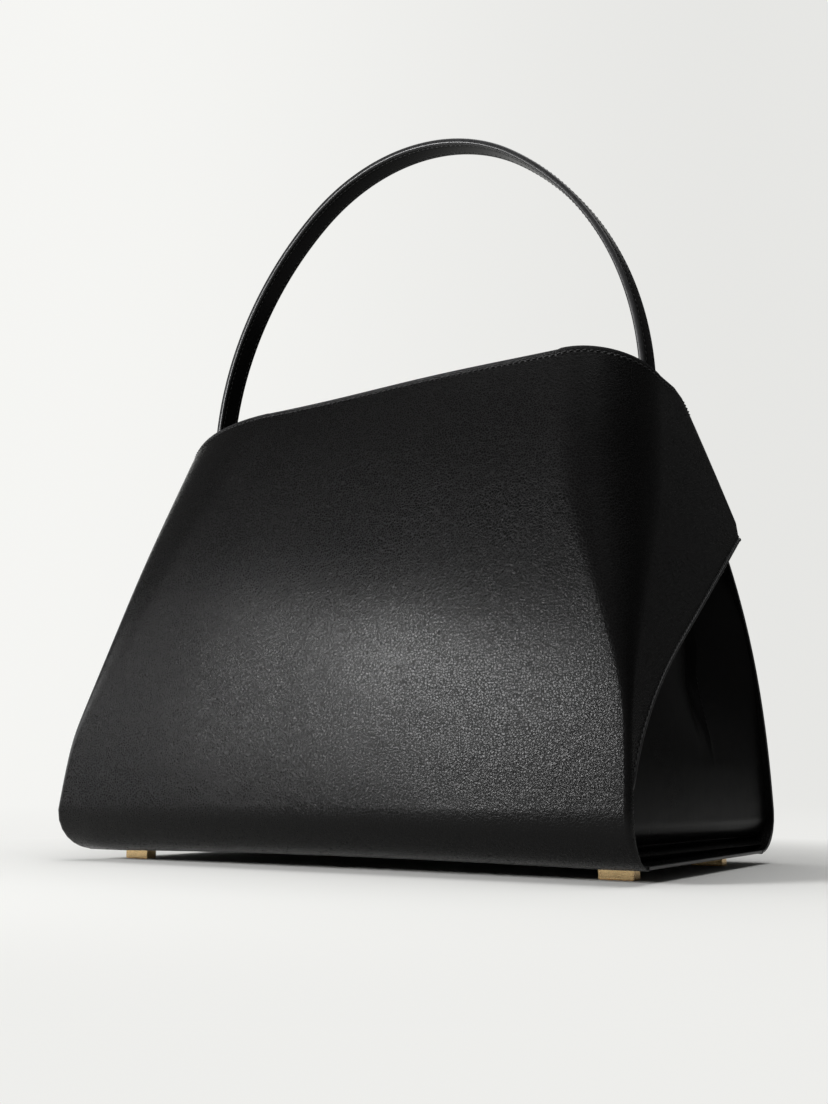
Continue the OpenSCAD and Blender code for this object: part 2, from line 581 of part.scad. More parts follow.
// Puller: a bail round the lug and a leather-wide tab, hanging plumb from its pin
puller_l = 24;
puller_w = 8;
puller_t = 1.4;
bail_w = 1.2;
bail_l = 6;
module zip_puller() color(gold) on_zip() translate([slider_x, pin_y, 0]) rotate([-wall_lean, 0, 0]) {
    translate([-lug_l / 2 - pin_play - bail_w, 0, 0]) rotate([0, 90, 0])
        cylinder(r = pin_r, h = lug_l + 2 * (pin_play + bail_w));
    for (s = [-1, 1]) translate([s * (lug_l / 2 + pin_play + bail_w / 2) - bail_w / 2, -puller_t / 2, -bail_l])
        cube([bail_w, puller_t, bail_l + pin_r]);
    translate([-puller_w / 2, puller_t / 2, -bail_l]) rotate([90, 0, 0]) linear_extrude(height = puller_t)
        difference() {
            translate([0, -puller_l + bail_l]) square([puller_w, puller_l - bail_l]);
            translate([puller_w / 2, -puller_l + bail_l + puller_w / 2]) circle(r = puller_w / 4);
        }
}

// Pocket bag lying flat between the back lining and the back panel
bag_cols = 6;
bag_rows = 4;
function bag_grid(d) = [for (x = span(-zip_l / 2 - tape_w, zip_l / 2 + tape_w, bag_cols))
    [for (z = span(zip_z - bag_h, zip_z + tape_w, bag_rows)) [x, half_depth(z, d), z]]];
module pocket_bag() color("#303036")
    sheet(bag_grid(facing_d), bag_grid(facing_d + bag_t), flip = true);

front_panel();
back_panel();
base_panel();
gusset_left();
gusset_right();
wing_lining_left();
wing_lining_right();
rim_facing();
lining_front();
lining_back();
lining_left();
lining_right();
lining_base();
base_board();
foot_front_left();
foot_front_right();
foot_back_left();
foot_back_right();
foot_plates();
handle_outer();
handle_core();
handle_inner();
handle_anchor_left();
handle_anchor_right();
pivot_screw_left();
pivot_screw_right();
pocket_bag();
zip_tapes();
zip_teeth();
zip_stops();
zip_slider();
zip_puller();
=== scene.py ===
"""Leather tote bag: grained shell, pleated gussets, arched strap, bar feet and a lined inside."""

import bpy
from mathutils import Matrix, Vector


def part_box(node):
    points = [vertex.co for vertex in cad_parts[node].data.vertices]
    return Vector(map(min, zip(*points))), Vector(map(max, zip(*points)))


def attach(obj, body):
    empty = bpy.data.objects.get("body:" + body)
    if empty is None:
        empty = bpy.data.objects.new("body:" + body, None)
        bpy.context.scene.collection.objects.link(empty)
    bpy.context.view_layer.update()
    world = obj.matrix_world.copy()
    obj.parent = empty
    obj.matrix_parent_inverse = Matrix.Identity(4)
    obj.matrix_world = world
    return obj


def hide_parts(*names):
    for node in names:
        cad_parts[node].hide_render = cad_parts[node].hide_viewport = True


bl_info = {
    "name": "Leather Tote Bag",
    "version": (1, 0, 0),
    "blender": (4, 5, 0),
    "location": "View3D > Sidebar > Tote Bag",
    "description": "Makes the visible pieces of a structured leather tote bag over its CAD frame",
    "category": "Object",
}

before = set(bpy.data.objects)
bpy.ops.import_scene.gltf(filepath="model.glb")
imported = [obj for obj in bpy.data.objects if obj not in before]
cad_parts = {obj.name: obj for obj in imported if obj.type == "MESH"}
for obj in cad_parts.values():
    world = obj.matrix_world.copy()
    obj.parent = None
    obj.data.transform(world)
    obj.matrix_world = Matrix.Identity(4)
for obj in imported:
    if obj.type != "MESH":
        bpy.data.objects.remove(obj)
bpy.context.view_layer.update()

import math
import bmesh
import bpy
import numpy as np


def box(node):
    """Lowest and highest corner of a CAD part."""
    return [np.array(corner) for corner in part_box(node)]


front_low, front_high = box("front_panel")
back_high = box("back_panel")[1]


# Sizes and colours that a user would change


def length(name, description, default):
    return bpy.props.FloatProperty(name=name, description=description, default=float(default),
                                   unit="LENGTH", subtype="DISTANCE", precision=4)


def colour(name, description, default):
    return bpy.props.FloatVectorProperty(name=name, description=description, default=default, size=3,
                                         min=0.0, max=1.0, subtype="COLOR")


class TOTE_body_sizes(bpy.types.PropertyGroup):
    """Sizes of the leather shell"""
    width: length("Width", "Width of the body across its bottom edges", 2 * front_high[0])
    depth: length("Depth", "Depth of the body at the shoulder of the bottom", -2 * front_low[1])
    front_rim: length("Front rim", "Height of the rim at the front", front_high[2])
    back_rim: length("Back rim", "Height of the rim at the back", back_high[2])
    depth_draw: length("Lean", "How far the front and back lean in towards the mouth", 0.040)
    left_draw: length("Left lean", "How far the left end leans in towards the mouth", 0.0185)
    left_spread: length("Left spread", "How far the left end stands out at the bottom", 0.0025)
    right_draw: length("Right lean", "How far the right end leans in towards the mouth", 0.0095)
    bottom_round: length("Bottom edge", "Outer radius of the bottom edges", 0.022)
    base_height: length("Base height", "Height of the base above the ground", front_low[2])
    panel_bulge: length("Bulge", "How far the middle of the front and back stands proud", 0.003)
    slump: length("Slump", "Height of the soft waves in the leather", 0.0006)
    rim_wave: length("Rim wave", "Height of the slow wave along the front rim", 0.0006)
    arch: length("Arch", "How far the bottom edges rise between the feet", 0.0014)
    left_tuck: length("Left tuck", "How far the left end draws in round its bottom corners", 0.0075)
    right_tuck: length("Right tuck", "How far the right end draws in round its bottom corners", 0.0015)
    welt: length("Welt", "How far the seam along the bottom stands proud", 0.0005)
    right_round: length("Right corner", "Radius along X of the right front corner at the rim", 0.035)
    right_round_depth: length("Right corner depth", "Radius along Y of the right front corner at the rim",
                              0.043)
    left_round: length("Left corner", "Radius along X of the left front corner at the rim", 0.095)
    left_round_depth: length("Left corner depth", "Radius along Y of the left front corner at the rim", 0.063)
    back_round: length("Back right corner", "Radius of the back right corner at the front rim's height",
                       0.078)
    back_left_round: length("Back left corner", "Radius of the back left corner at the front rim's height",
                            0.058)
    cut_start: length("Cut start", "Height at which the cut edge leaves the front corner", 0.015)
    cut_straight: length("Cut straight", "Height at which the cut edge becomes straight", 0.108)
    cut_run: bpy.props.FloatProperty(name="Cut run", default=1.56,
                                     description="Run of the cut towards the back per unit of rise")
    wing_overlap: length("Wing overlap", "Overlap of a wing on the back panel", 0.016)
    bead: length("Bead", "Radius of the bead of edge paint along the cut edges", 0.0009)
    shell_t: length("Shell leather", "Thickness of the outer leather", 0.0016)
    gusset_t: length("Gusset leather", "Thickness of the gusset leather", 0.0012)
    facing_t: length("Facing leather", "Thickness of the facing along the rim", 0.001)
    facing_h: length("Facing height", "Height of the facing along the rim", 0.028)
    lining_t: length("Lining", "Thickness of the lining", 0.0008)
    gap: length("Layer gap", "Gap between two layers", 0.0003)
    gusset_setback: length("Gusset setback", "Setback of a gusset from the panel edges", 0.014)
    pleat_depth: length("Pleat", "Depth of the pleat in a gusset", 0.017)
    flare: length("Flare", "How far the back edge of a gusset reaches out to the back panel's edge", 0.010)
    pleat_place: bpy.props.FloatProperty(name="Pleat place", default=0.73, min=0.3, max=0.9,
                                         description="Place of the crease from front to back")
    roll_in: length("Roll", "How far the bottom of a gusset rolls inwards", 0.009)


class TOTE_strap_sizes(bpy.types.PropertyGroup):
    """Sizes of the strap handle"""
    width: length("Strap width", "Width of the strap", 0.016)
    thickness: length("Strap thickness", "Thickness of the strap's three layers", 0.004)
    half_span: length("Half span", "Half the distance between the legs", 0.150)
    centre_x: length("Centre", "Place of the strap's middle along the bag", 0.0005)
    tightening: length("Tightening", "How much tighter the arch is at its top than half its span", 0.029)
    pivot_z: length("Pivot height", "Height of the pivots", 0.231)
    leg: length("Leg", "Length of a leg's straight part above its pivot", 0.021)
    edge_round: length("Edge rounding", "Rounding of the strap's painted edges", 0.0011)


class TOTE_thread_sizes(bpy.types.PropertyGroup):
    """Sizes of the stitching"""
    pitch: length("Stitch pitch", "Distance from one stitch to the next", 0.0034)
    stitch: length("Stitch length", "Length of a stitch", 0.0025)
    thread: length("Thread", "Radius of the thread", 0.00032)
    margin: length("Margin", "Distance of the stitching from a painted edge", 0.0028)


class TOTE_colours(bpy.types.PropertyGroup):
    """Colours of the leathers, cloth, thread and metal"""
    leather: colour("Leather", "Colour of the shell, gussets and strap", (0.0036, 0.0035, 0.0035))
    edge: colour("Edge paint", "Colour of the painted edges", (0.012, 0.012, 0.0125))
    thread: colour("Thread", "Colour of the stitching", (0.009, 0.009, 0.0095))
    lining: colour("Lining", "Colour of the lining cloth", (0.022, 0.021, 0.024))
    brass: colour("Brass", "Colour of the feet, screws and zip", (0.96, 0.68, 0.35))
    steel: colour("Steel", "Colour of the plates under the rivets", (0.55, 0.55, 0.57))
    board: colour("Board", "Colour of the stiffening board", (0.18, 0.12, 0.07))
    floor: colour("Floor", "Colour of the floor and backdrop", (0.86, 0.86, 0.84))
    grain: length("Grain", "Width of one pebble of the leather's grain", 0.00125)


# Small helpers on whole arrays


def mix(a, b, t):
    return a + (b - a) * t


def clamp(t):
    return np.clip(t, 0.0, 1.0)


def smooth(t):
    c = clamp(t)
    return c * c * (3.0 - 2.0 * c)


def unit(v):
    return v / np.maximum(np.linalg.norm(v, axis=-1, keepdims=True), 1e-12)


def bell(t, width):
    """Bell curve of height 1 round 0."""
    return np.exp(-(t / width) ** 2)


def spread(*parts):
    """Coordinates of differing shapes, spread over each other, as one grid of points."""
    return np.stack(np.broadcast_arrays(*parts), -1)


def stations(*spans):
    """Values along a grid: each (from, to, steps) span follows the one before it without a repeat."""
    parts = [np.linspace(a, b, n + 1)[(1 if i else 0):] for i, (a, b, n) in enumerate(spans)]
    return np.concatenate(parts)


# The shape of the shell


both_ends = (("left", -1), ("right", 1))


class Shell:
    """The bag's surfaces as functions of height and place, all in metres."""

    # Radius of a front corner at its foot, and least radius of a corner of an inner layer
    foot_round, least_round = 0.003, 0.00075
    # Heights from which the corners open, and the height at which the right one is open
    left_opens, right_opens, right_open, back_opens = 0.070, 0.062, 0.200, 0.183
    # Narrowing of the back panel towards its rim, as an amount and a power of the height
    back_narrows, back_power = 0.038, 2.4
    # Reach of the welt along the bottom seam, and half length and height of the rise between the feet
    welt_reach, arch_reach, arch_height = 0.0026, 0.15, 0.045
    # Radius of the roll at the foot of a gusset, and the height of its flange
    roll_top, roll_round, flange_top, flange_h = 0.0235, 0.0090, 0.0105, 0.0035
    # Heights over which the back edge of a gusset draws in, and over which its crease opens and moves
    flare_from, crease_foot, crease_opens, crease_from = 0.130, 0.050, 0.055, 0.115
    # Share by which the crease's foot lies further forward, and softness of the fold at its deepest
    crease_shift, fold_soft = 0.10, 0.03
    # Rounds in which a height and a place are found from each other
    rounds = 16

    def __init__(self, s):
        self.s = s
        self.shoulder = s.base_height + s.bottom_round
        self.flat = s.depth / 2 - s.bottom_round
        self.mouth_depth = s.depth - 2 * s.depth_draw
        self.cut_k = s.cut_run / (2 * (s.cut_straight - s.cut_start))
        self.cut_y = -s.depth / 2 + self.cut_k * (s.cut_straight - s.cut_start) ** 2
        z = s.front_rim
        for _ in range(self.rounds):
            z = float(self.cut_z(self.half_depth(z)))
        self.tip = z
        self.facing_d = s.shell_t + s.gap
        self.outer = (0.0, 0.0, -self.facing_d)
        self.gusset_top_z = s.front_rim - s.facing_h - 3 * s.gap

    def rise(self, z):
        """Share of the way from the shoulder to the front rim."""
        return (z - self.shoulder) / (self.s.front_rim - self.shoulder)

    def half_width(self, z, side):
        """Half width: the left end narrows evenly, the right end as the share of height to a power."""
        s = self.s
        t = np.maximum(self.rise(z), 0.0)
        left = s.width / 2 + s.left_spread - (s.left_draw + s.left_spread) * t
        right = s.width / 2 - s.right_draw * t ** 2.15
        return np.where(np.asarray(side) < 0, left, right)

    def half_depth(self, z, d=0.0):
        """Half depth: a quarter circle under the shoulder, then a lean that grows with the height."""
        s = self.s
        t = self.rise(z)
        wall = s.depth / 2 - s.depth_draw * (0.4 * t + 0.6 * t * t) - d
        arc = self.flat + np.sqrt(np.maximum((s.bottom_round - d) ** 2 - (self.shoulder - z) ** 2, 0.0))
        return np.where(z < self.shoulder, arc, wall)

    def front_rx(self, z, side):
        """Radius of a front corner along X: the left one opens with the height to a power, from a soft
        start, and the right one along a smooth step."""
        s = self.s
        up = (z - self.left_opens) / (s.front_rim - self.left_opens)
        left = mix(self.foot_round, s.left_round, ((up + np.sqrt(up * up + 0.0036)) / 2) ** 0.85)
        right = mix(self.foot_round, s.right_round,
                    smooth((z - self.right_opens) / (self.right_open - self.right_opens)))
        return np.where(np.asarray(side) < 0, left, right)

    def front_ry(self, z, side):
        """Radius of a front corner along Y, short of the back corner."""
        s = self.s
        ratio = np.where(np.asarray(side) < 0, s.left_round_depth / s.left_round,
                         s.right_round_depth / s.right_round)
        return np.minimum(self.front_rx(z, side) * ratio,
                          2 * self.half_depth(z) - self.back_r(z, side) - 0.002)

    def back_r(self, z, side):
        """Radius of a back corner: opens evenly with the height."""
        most = np.where(np.asarray(side) < 0, self.s.back_left_round, self.s.back_round)
        return np.maximum(0.004, most * clamp((z - self.back_opens) / (self.s.front_rim - self.back_opens)))

    def rim_z(self, y):
        """Height of the rim: falls evenly from the front to the back."""
        return mix(self.s.front_rim, self.s.back_rim, clamp(y / self.mouth_depth + 0.5))

    def bulged(self, x, y, z):
        """Adds the panel's bulge, a sine in height that fades to the ends, and slow waves in the leather."""
        s = self.s
        side = np.where(x < 0, -1, 1)
        across = np.maximum(1 - (x / self.half_width(z, side)) ** 2, 0.0)
        up = np.sin(np.pi * clamp(self.rise(z)))
        waves = (np.sin(31 * x + 22 * z + 0.6) * np.sin(17 * x - 36 * z + 1.9)
                 + 0.6 * np.sin(9 * x + 41 * z + 2.4)) * up ** 0.5
        away = s.panel_bulge * up * across ** 2 + s.slump * waves * across ** 0.5
        return np.stack([x, y + np.sign(y) * away, z], -1)

    def end(self, z, side, st, d):
        """Plan outline of an end at depths d: a quarter ellipse round the front corner (0 to 1), a straight
        end (to 2), a quarter circle round the back corner (to 3) and the overlap on the back (to 4)."""
        a = self.half_width(z, side) - d[1]
        front = self.half_depth(z) - d[0]
        back = self.half_depth(z) - d[2]
        rx = np.maximum(self.front_rx(z, side) - (d[0] + d[1]) / 2, self.least_round)
        ry = np.maximum(self.front_ry(z, side) - (d[0] + d[1]) / 2, self.least_round)
        rb = np.maximum(self.back_r(z, side) - (d[1] + d[2]) / 2, self.least_round)
        t0 = np.clip(st, 0, 1) * np.pi / 2
        t2 = np.clip(st - 2, 0, 1) * np.pi / 2
        behind = a - rb * (1 - np.cos(t2)) - self.s.wing_overlap * np.maximum(st - 3, 0)
        x = np.where(st < 1, a - rx * (1 - np.sin(t0)), np.where(st < 2, a, behind))
        y = np.where(st < 1, -front + ry * (1 - np.cos(t0)),
                     np.where(st < 2, mix(-front + ry, back - rb, st - 1), back - rb * (1 - np.sin(t2))))
        return side * x, y

    def front_y(self, z, x, d):
        """Front face of the layer at depth d: flat between the corners, a quarter ellipse on each."""
        side = np.where(x < 0, -1, 1)
        a = self.half_width(z, side) - d
        rx = np.maximum(self.front_rx(z, side) - d, self.least_round)
        ry = np.maximum(self.front_ry(z, side) - d, self.least_round)
        s = clamp((np.abs(x) - (a - rx)) / rx)
        return -self.half_depth(z, d) + ry * (1 - np.sqrt(1 - s * s))

    def cut_z(self, y):
        """Height of the cut edge over y: a parabola from the front corner, then a straight diagonal."""
        s = self.s
        curve = s.cut_start + np.sqrt(np.maximum(y + s.depth / 2, 0.0) / self.cut_k)
        return np.where(y < self.cut_y, curve, s.cut_straight + (y - self.cut_y) / s.cut_run)

    def wing_low(self, side, st):
        """Height of the cut edge at each station, found by going to and fro between the two curves."""
        z = np.full(np.shape(st), (self.shoulder + self.s.front_rim) / 2)
        for _ in range(self.rounds):
            y = self.end(z, side, np.minimum(st, 3.0), self.outer)[1]
            z = 0.5 * z + 0.5 * np.maximum(self.cut_z(y), self.shoulder)
        return z + np.maximum(st - 3, 0.0) * self.s.wing_overlap / self.s.cut_run

    def back_half(self, z, side):
        """Half width of the back panel: narrows to a power of the height, and above the wing's tip ends
        where the wing's back corner begins."""
        s = self.s
        under = self.half_width(z, side) - self.back_r(z, side)
        return np.minimum(s.width / 2 - self.back_narrows * np.maximum(self.rise(z), 0.0) ** self.back_power,
                          np.where(z < self.tip, s.width, under))

    def front_face_x(self, z, share):
        """X across the front between its two corners, from 0 at the left to 1 at the right."""
        return mix(-self.half_width(z, -1) + self.front_rx(z, -1),
                   self.half_width(z, 1) - self.front_rx(z, 1), share)

    def tuck(self, z, side):
        """How far the ends draw in round the bottom corners: a quarter ellipse from the shoulder down."""
        s = self.s
        q = clamp((self.shoulder - z) / s.bottom_round)
        return np.where(np.asarray(side) < 0, s.left_tuck, s.right_tuck) * (1 - np.sqrt(1 - 0.97 * q * q))

    def tucked(self, points):
        """Points of the bottom edges with their ends drawn in and the middle arched up between the feet."""
        s = self.s
        x, y, z = points[..., 0], points[..., 1], points[..., 2]
        arch = s.arch * np.maximum(1 - (x / self.arch_reach) ** 2, 0.0) * (
            1 - smooth((z - s.base_height) / self.arch_height))
        shrink = 1 - self.tuck(z, x) / (s.width / 2)
        return np.stack([x * shrink, y, z + arch], -1)

    def proud(self, angle, d):
        """How far the seam along the bottom stands proud, over the angle from the bottom. Only the outer
        layer has it."""
        if d != 0:
            return 0 * angle
        return self.s.welt * (1 - smooth(angle * self.s.bottom_round / self.welt_reach))

    def wave(self, x):
        """Slow wave of the front rim: a sine along X."""
        return self.s.rim_wave * np.sin(2 * np.pi * (x - 0.015) / 0.170)

    def setback(self, z):
        """Setback of the gusset from the panel edges. The bottom rolls in along a quarter circle and turns
        out again in a narrow flange."""
        s = self.s
        q = clamp((self.roll_top - z) / self.roll_round)
        roll = s.roll_in * (1 - np.sqrt(1 - 0.98 * q * q)) * smooth((z - self.flange_top) / self.flange_h)
        return mix(s.gusset_setback, 0.004, smooth((z - self.tip) / (self.gusset_top_z - self.tip))) + roll

    def gusset_front_x(self, z, side):
        return self.half_width(z, side) - self.setback(z)

    def gusset_back_x(self, z, side):
        """The gusset's back edge: flares out to the back panel's edge below the wing's tip."""
        out = self.s.flare * (1 - smooth((z - self.flare_from) / (self.tip - self.flare_from)))
        return np.minimum(self.gusset_front_x(z, side) + out,
                          self.back_half(z, side) - self.setback(z) / 2 + out / 2)

    def gusset(self, z, side, v, d, inset=0.0):
        """Gusset from the front edge to the back edge, folded inwards. Its front part curves into the crease
        as a power of the way there. Its back part leaves it in a straight line, with a ridge at its start.
        The ridge and the hollow in front of it are bell curves."""
        s = self.s
        xf, xb = self.gusset_front_x(z, side), self.gusset_back_x(z, side)
        edge_d = self.facing_d + s.gap
        yf, yb = self.front_y(z, side * xf, edge_d), self.half_depth(z, edge_d)
        w = np.clip(v, inset / (yb - yf), 1 - inset / (yb - yf))
        place = s.pleat_place - self.crease_shift * clamp((self.crease_from - z) / self.crease_opens)
        fold = np.where(w < place, (np.minimum(w, place) / place) ** 4, (1 - w) / (1 - place))
        soft = self.fold_soft
        fold = fold - np.where(fold > 1 - soft, (fold - 1 + soft) ** 2 / (2 * soft), 0.0)
        fold = fold + 0.20 * bell(w - place + 0.036, 0.024) - 0.30 * bell(w - place - 0.016, 0.008)
        depth = s.pleat_depth * smooth((z - self.crease_foot) / self.crease_opens) * (
            1 - smooth((z - self.tip) / (self.gusset_top_z - self.tip)))
        return spread(side * (mix(xf, xb, w) - depth * fold - d), mix(yf, yb, w), z)

    def gusset_top(self, side, v, lap):
        """Height of a gusset's top: under the facing, with a lap."""
        y = self.gusset(np.full(np.shape(v), self.gusset_top_z), side, v, 0.0)[..., 1]
        return self.rim_z(y) - self.s.facing_h + lap

    def climb(self, low, top, arc_n, wall_n):
        """Heights from low to top, shape (columns, rows): even angles round the bottom edge, then even
        steps."""
        top = np.atleast_1d(top)
        bottom_round = self.s.bottom_round
        start = math.acos(clamp((self.shoulder - low) / bottom_round))
        arc = self.shoulder - bottom_round * np.cos(np.linspace(start, math.pi / 2, arc_n + 1)[:-1])
        wall = self.shoulder + (top[:, None] - self.shoulder) * np.linspace(0, 1, wall_n + 1)
        return np.concatenate([np.broadcast_to(arc, (top.size, arc_n)), wall], 1)


# Meshes from grids


def finish_piece(name, points, faces, body, materials, replaces=(), face_materials=None, uv=None,
                 edge=None):
    """Puts points, faces, material indices, a UV map and the distance from the edge into one object."""
    mesh = bpy.data.meshes.new(name)
    used, flat = np.unique(np.asarray(faces).ravel(), return_inverse=True)
    faces = flat.reshape(np.shape(faces))
    points = np.asarray(points, float)[used]
    corners = faces.shape[1]
    mesh.vertices.add(len(points))
    mesh.vertices.foreach_set("co", points.ravel())
    mesh.loops.add(faces.size)
    mesh.loops.foreach_set("vertex_index", faces.ravel().astype(np.int32))
    mesh.polygons.add(len(faces))
    mesh.polygons.foreach_set("loop_start", np.arange(0, faces.size, corners, dtype=np.int32))
    mesh.polygons.foreach_set("use_smooth", np.ones(len(faces), bool))
    for material in materials:
        mesh.materials.append(material)
    if face_materials is not None:
        mesh.polygons.foreach_set("material_index", np.asarray(face_materials, np.int32))
    if uv is not None:
        layer = mesh.uv_layers.new(name="surface")
        layer.data.foreach_set("uv", np.asarray(uv, float)[used][faces.ravel()].ravel())
    if edge is not None:
        attribute = mesh.attributes.new("edge_distance", "FLOAT", "POINT")
        attribute.data.foreach_set("value", np.asarray(edge, float)[used])
    mesh.update()
    mesh.validate()
    piece = bpy.data.objects.new(name, mesh)
    bpy.context.scene.collection.objects.link(piece)
    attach(piece, body)
    if replaces:
        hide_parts(*replaces)
    return piece


def grid_faces(nu, nv, ring_u=False, ring_v=False):
    """Quads of an nu by nv grid of points, closed on itself along u or v where asked."""
    index = np.arange(nu * nv).reshape(nu, nv)
    if ring_u:
        index = np.concatenate([index, index[:1]], 0)
    if ring_v:
        index = np.concatenate([index, index[:, :1]], 1)
    return np.stack([index[:-1, :-1], index[1:, :-1], index[1:, 1:], index[:-1, 1:]], -1)


def wall(top, under, keep=None, ring=False, flip=False):
    """Closed wall between two grids of points. Where a kept cell has no kept neighbour, a strip joins the
    two grids. Gives the points, the faces and 1 for the faces of those strips."""
    nu, nv = top.shape[:2]
    quads = grid_faces(nu, nv, ring_u=ring)
    cells = quads.shape[:2]
    kept = np.ones(cells, bool) if keep is None else keep[:cells[0], :cells[1]]
    padded = np.zeros((cells[0] + 2, cells[1] + 2), bool)
    padded[1:-1, 1:-1] = kept
    if ring:
        padded[0, 1:-1], padded[-1, 1:-1] = kept[-1], kept[0]
    outer = quads[kept]
    count = nu * nv
    strips = []
    for a, b, neighbour in ((0, 1, padded[1:-1, :-2]), (1, 2, padded[2:, 1:-1]),
                            (2, 3, padded[1:-1, 2:]), (3, 0, padded[:-2, 1:-1])):
        open_side = quads[kept & ~neighbour]
        p, q = open_side[:, a], open_side[:, b]
        strips.append(np.stack([q, p, p + count, q + count], -1))
    strips = np.concatenate(strips)
    faces = np.concatenate([outer, outer[:, ::-1] + count, strips])
    if flip:
        faces = faces[:, ::-1]
    points = np.concatenate([top.reshape(-1, 3), under.reshape(-1, 3)])
    return points, faces, np.concatenate([np.zeros(2 * len(outer)), np.ones(len(strips))])


def doubled(values):
    values = np.asarray(values, float)
    flat = values.reshape(-1, values.shape[-1]) if values.ndim == 3 else values.reshape(-1)
    return np.concatenate([flat, flat])


def outer_only(edge):
    """Distance from the edge for the outer face; the inner face counts as far from it."""
    return np.concatenate([np.ravel(edge), np.full(np.size(edge), 0.02)])


def rounded(piece, width, segments=2):
    """Bevels the sharp edges of a piece; the new faces take the edge paint where the piece has it."""
    bevel = piece.modifiers.new("Rounded edges", "BEVEL")
    bevel.width, bevel.segments, bevel.limit_method = width, segments, "ANGLE"
    bevel.angle_limit = math.radians(40)
    bevel.harden_normals = True
    if len(piece.data.materials) > 1:
        bevel.material = 1


def joined(parts):
    """Several (points, faces) pairs as one."""
    starts = np.cumsum([0] + [len(points) for points, _ in parts[:-1]])
    return (np.concatenate([points for points, _ in parts]),
            np.concatenate([faces + start for (_, faces), start in zip(parts, starts)]))


def lengths(path):
    """Distance run along a path up to each of its points."""
    return np.concatenate([[0.0], np.cumsum(np.linalg.norm(np.diff(path, axis=0), axis=1))])


def along(path, run, places):
    """Values of a path, or of anything given per point, at the given distances along it."""
    return np.stack([np.interp(places, run, path[:, i]) for i in range(path.shape[1])], -1)


def stitch_row(path, normal, sizes, slant):
    """Points and faces of a row of stitches on a path. Each is a short arc of thread: its height follows
    half a sine along its length, its section is a circle that narrows to the ends, and it is sunk into the
    leather."""
    run = lengths(path)
    count = max(int(run[-1] / sizes.pitch), 1)
    centre = (np.arange(count) + 0.5) * run[-1] / count
    steps = np.linspace(-0.5, 0.5, 5)
    turn = np.arange(6) * np.pi / 3
    reach, sink = 1e-4, 0.35
    places = np.clip(centre[:, None] + steps * sizes.stitch, 0, run[-1])
    middle = along(path, run, places)
    up = unit(along(normal, run, places))
    ahead = unit(along(path, run, np.minimum(places + reach, run[-1]))
                 - along(path, run, np.maximum(places - reach, 0)))
    side = unit(np.cross(up, ahead))
    arch = np.sin(np.pi * (steps + 0.5))
    radius = sizes.thread * (0.35 + 0.65 * arch)
    middle = (middle + up * (sizes.thread * (arch - sink))[:, None]
              + side * (steps * slant * sizes.stitch)[:, None])
    ring = side[:, :, None] * np.cos(turn)[:, None] + up[:, :, None] * np.sin(turn)[:, None]
    points = (middle[:, :, None] + ring * radius[:, None, None]).reshape(-1, 3)
    tube = grid_faces(steps.size, turn.size, ring_v=True).reshape(-1, 4)
    caps = np.array([[0, 1, 2, 3], [0, 3, 4, 5], [27, 26, 25, 24], [29, 28, 27, 24]])
    starts = steps.size * turn.size * np.arange(count)[:, None, None]
    faces, caps = ((part[None] + starts).reshape(-1, 4)[:, ::-1] for part in (tube, caps))
    return points, np.concatenate([faces, caps])


def stitched(name, rows, sizes, body, slant=0.0):
    """One object that holds several rows of stitches, given as (path, normal) pairs."""
    points, faces = joined([stitch_row(path, normal, sizes, slant) for path, normal in rows])
    return finish_piece(name, points, faces, body, [finish("waxed_thread")])


def grid_normals(grid):
    """Unit normals of a grid of points, from the differences along its two directions."""
    return unit(np.cross(np.gradient(grid, axis=0), np.gradient(grid, axis=1)))


def pillow_block(low, high, corner, edge):
    """Block with rounded corners in plan and rounded top and bottom edges: a rounded rectangle whose inset
    follows a quarter circle at both ends of its height. Gives a closed grid of points and its faces."""
    t = np.linspace(0, np.pi / 2, 8)
    arc = np.stack([np.cos(t), np.sin(t)], -1)
    turns = np.array([[[1, 0], [0, 1]], [[0, 1], [-1, 0]], [[-1, 0], [0, -1]], [[0, -1], [1, 0]]])
    signs = np.array([[1, 1], [-1, 1], [-1, -1], [1, -1]])
    half = (high - low)[:2] / 2
    e = np.linspace(0, np.pi / 2, 5)
    inset = np.concatenate([edge * (1 - np.sin(e)), edge * (1 - np.sin(e[::-1]))])
    z = np.concatenate([low[2] + edge * (1 - np.cos(e)), high[2] - edge * (1 - np.cos(e[::-1]))])
    outline = np.concatenate([(half - corner) * sign + corner * arc @ turn
                              for sign, turn in zip(signs, turns)])
    direction = np.concatenate([arc @ turn for turn in turns])
    middle = (low + high)[:2] / 2
    grid = outline[None] - inset[:, None, None] * direction[None] + middle
    grid = np.concatenate([grid, np.broadcast_to(z[:, None, None], grid.shape[:2] + (1,))], -1)
    m = grid.shape[1]
    ends = np.array([[middle[0], middle[1], low[2]], [middle[0], middle[1], high[2]]])
    caps = np.stack([np.broadcast_to(ends[k], (m, 3)) for k in (0, 1)])
    grid = np.concatenate([caps[:1], grid, caps[1:]])
    return grid.reshape(-1, 3), grid_faces(len(grid), m, ring_v=True).reshape(-1, 4)[:, ::-1]


def merge(piece):
    """Welds points that lie on each other, which closes poles and seams."""
    work = bmesh.new()
    work.from_mesh(piece.data)
    bmesh.ops.remove_doubles(work, verts=work.verts, dist=1e-6)
    work.to_mesh(piece.data)
    work.free()
    piece.data.polygons.foreach_set("use_smooth", np.ones(len(piece.data.polygons), bool))
    piece.data.update()


# Shader maths and materials


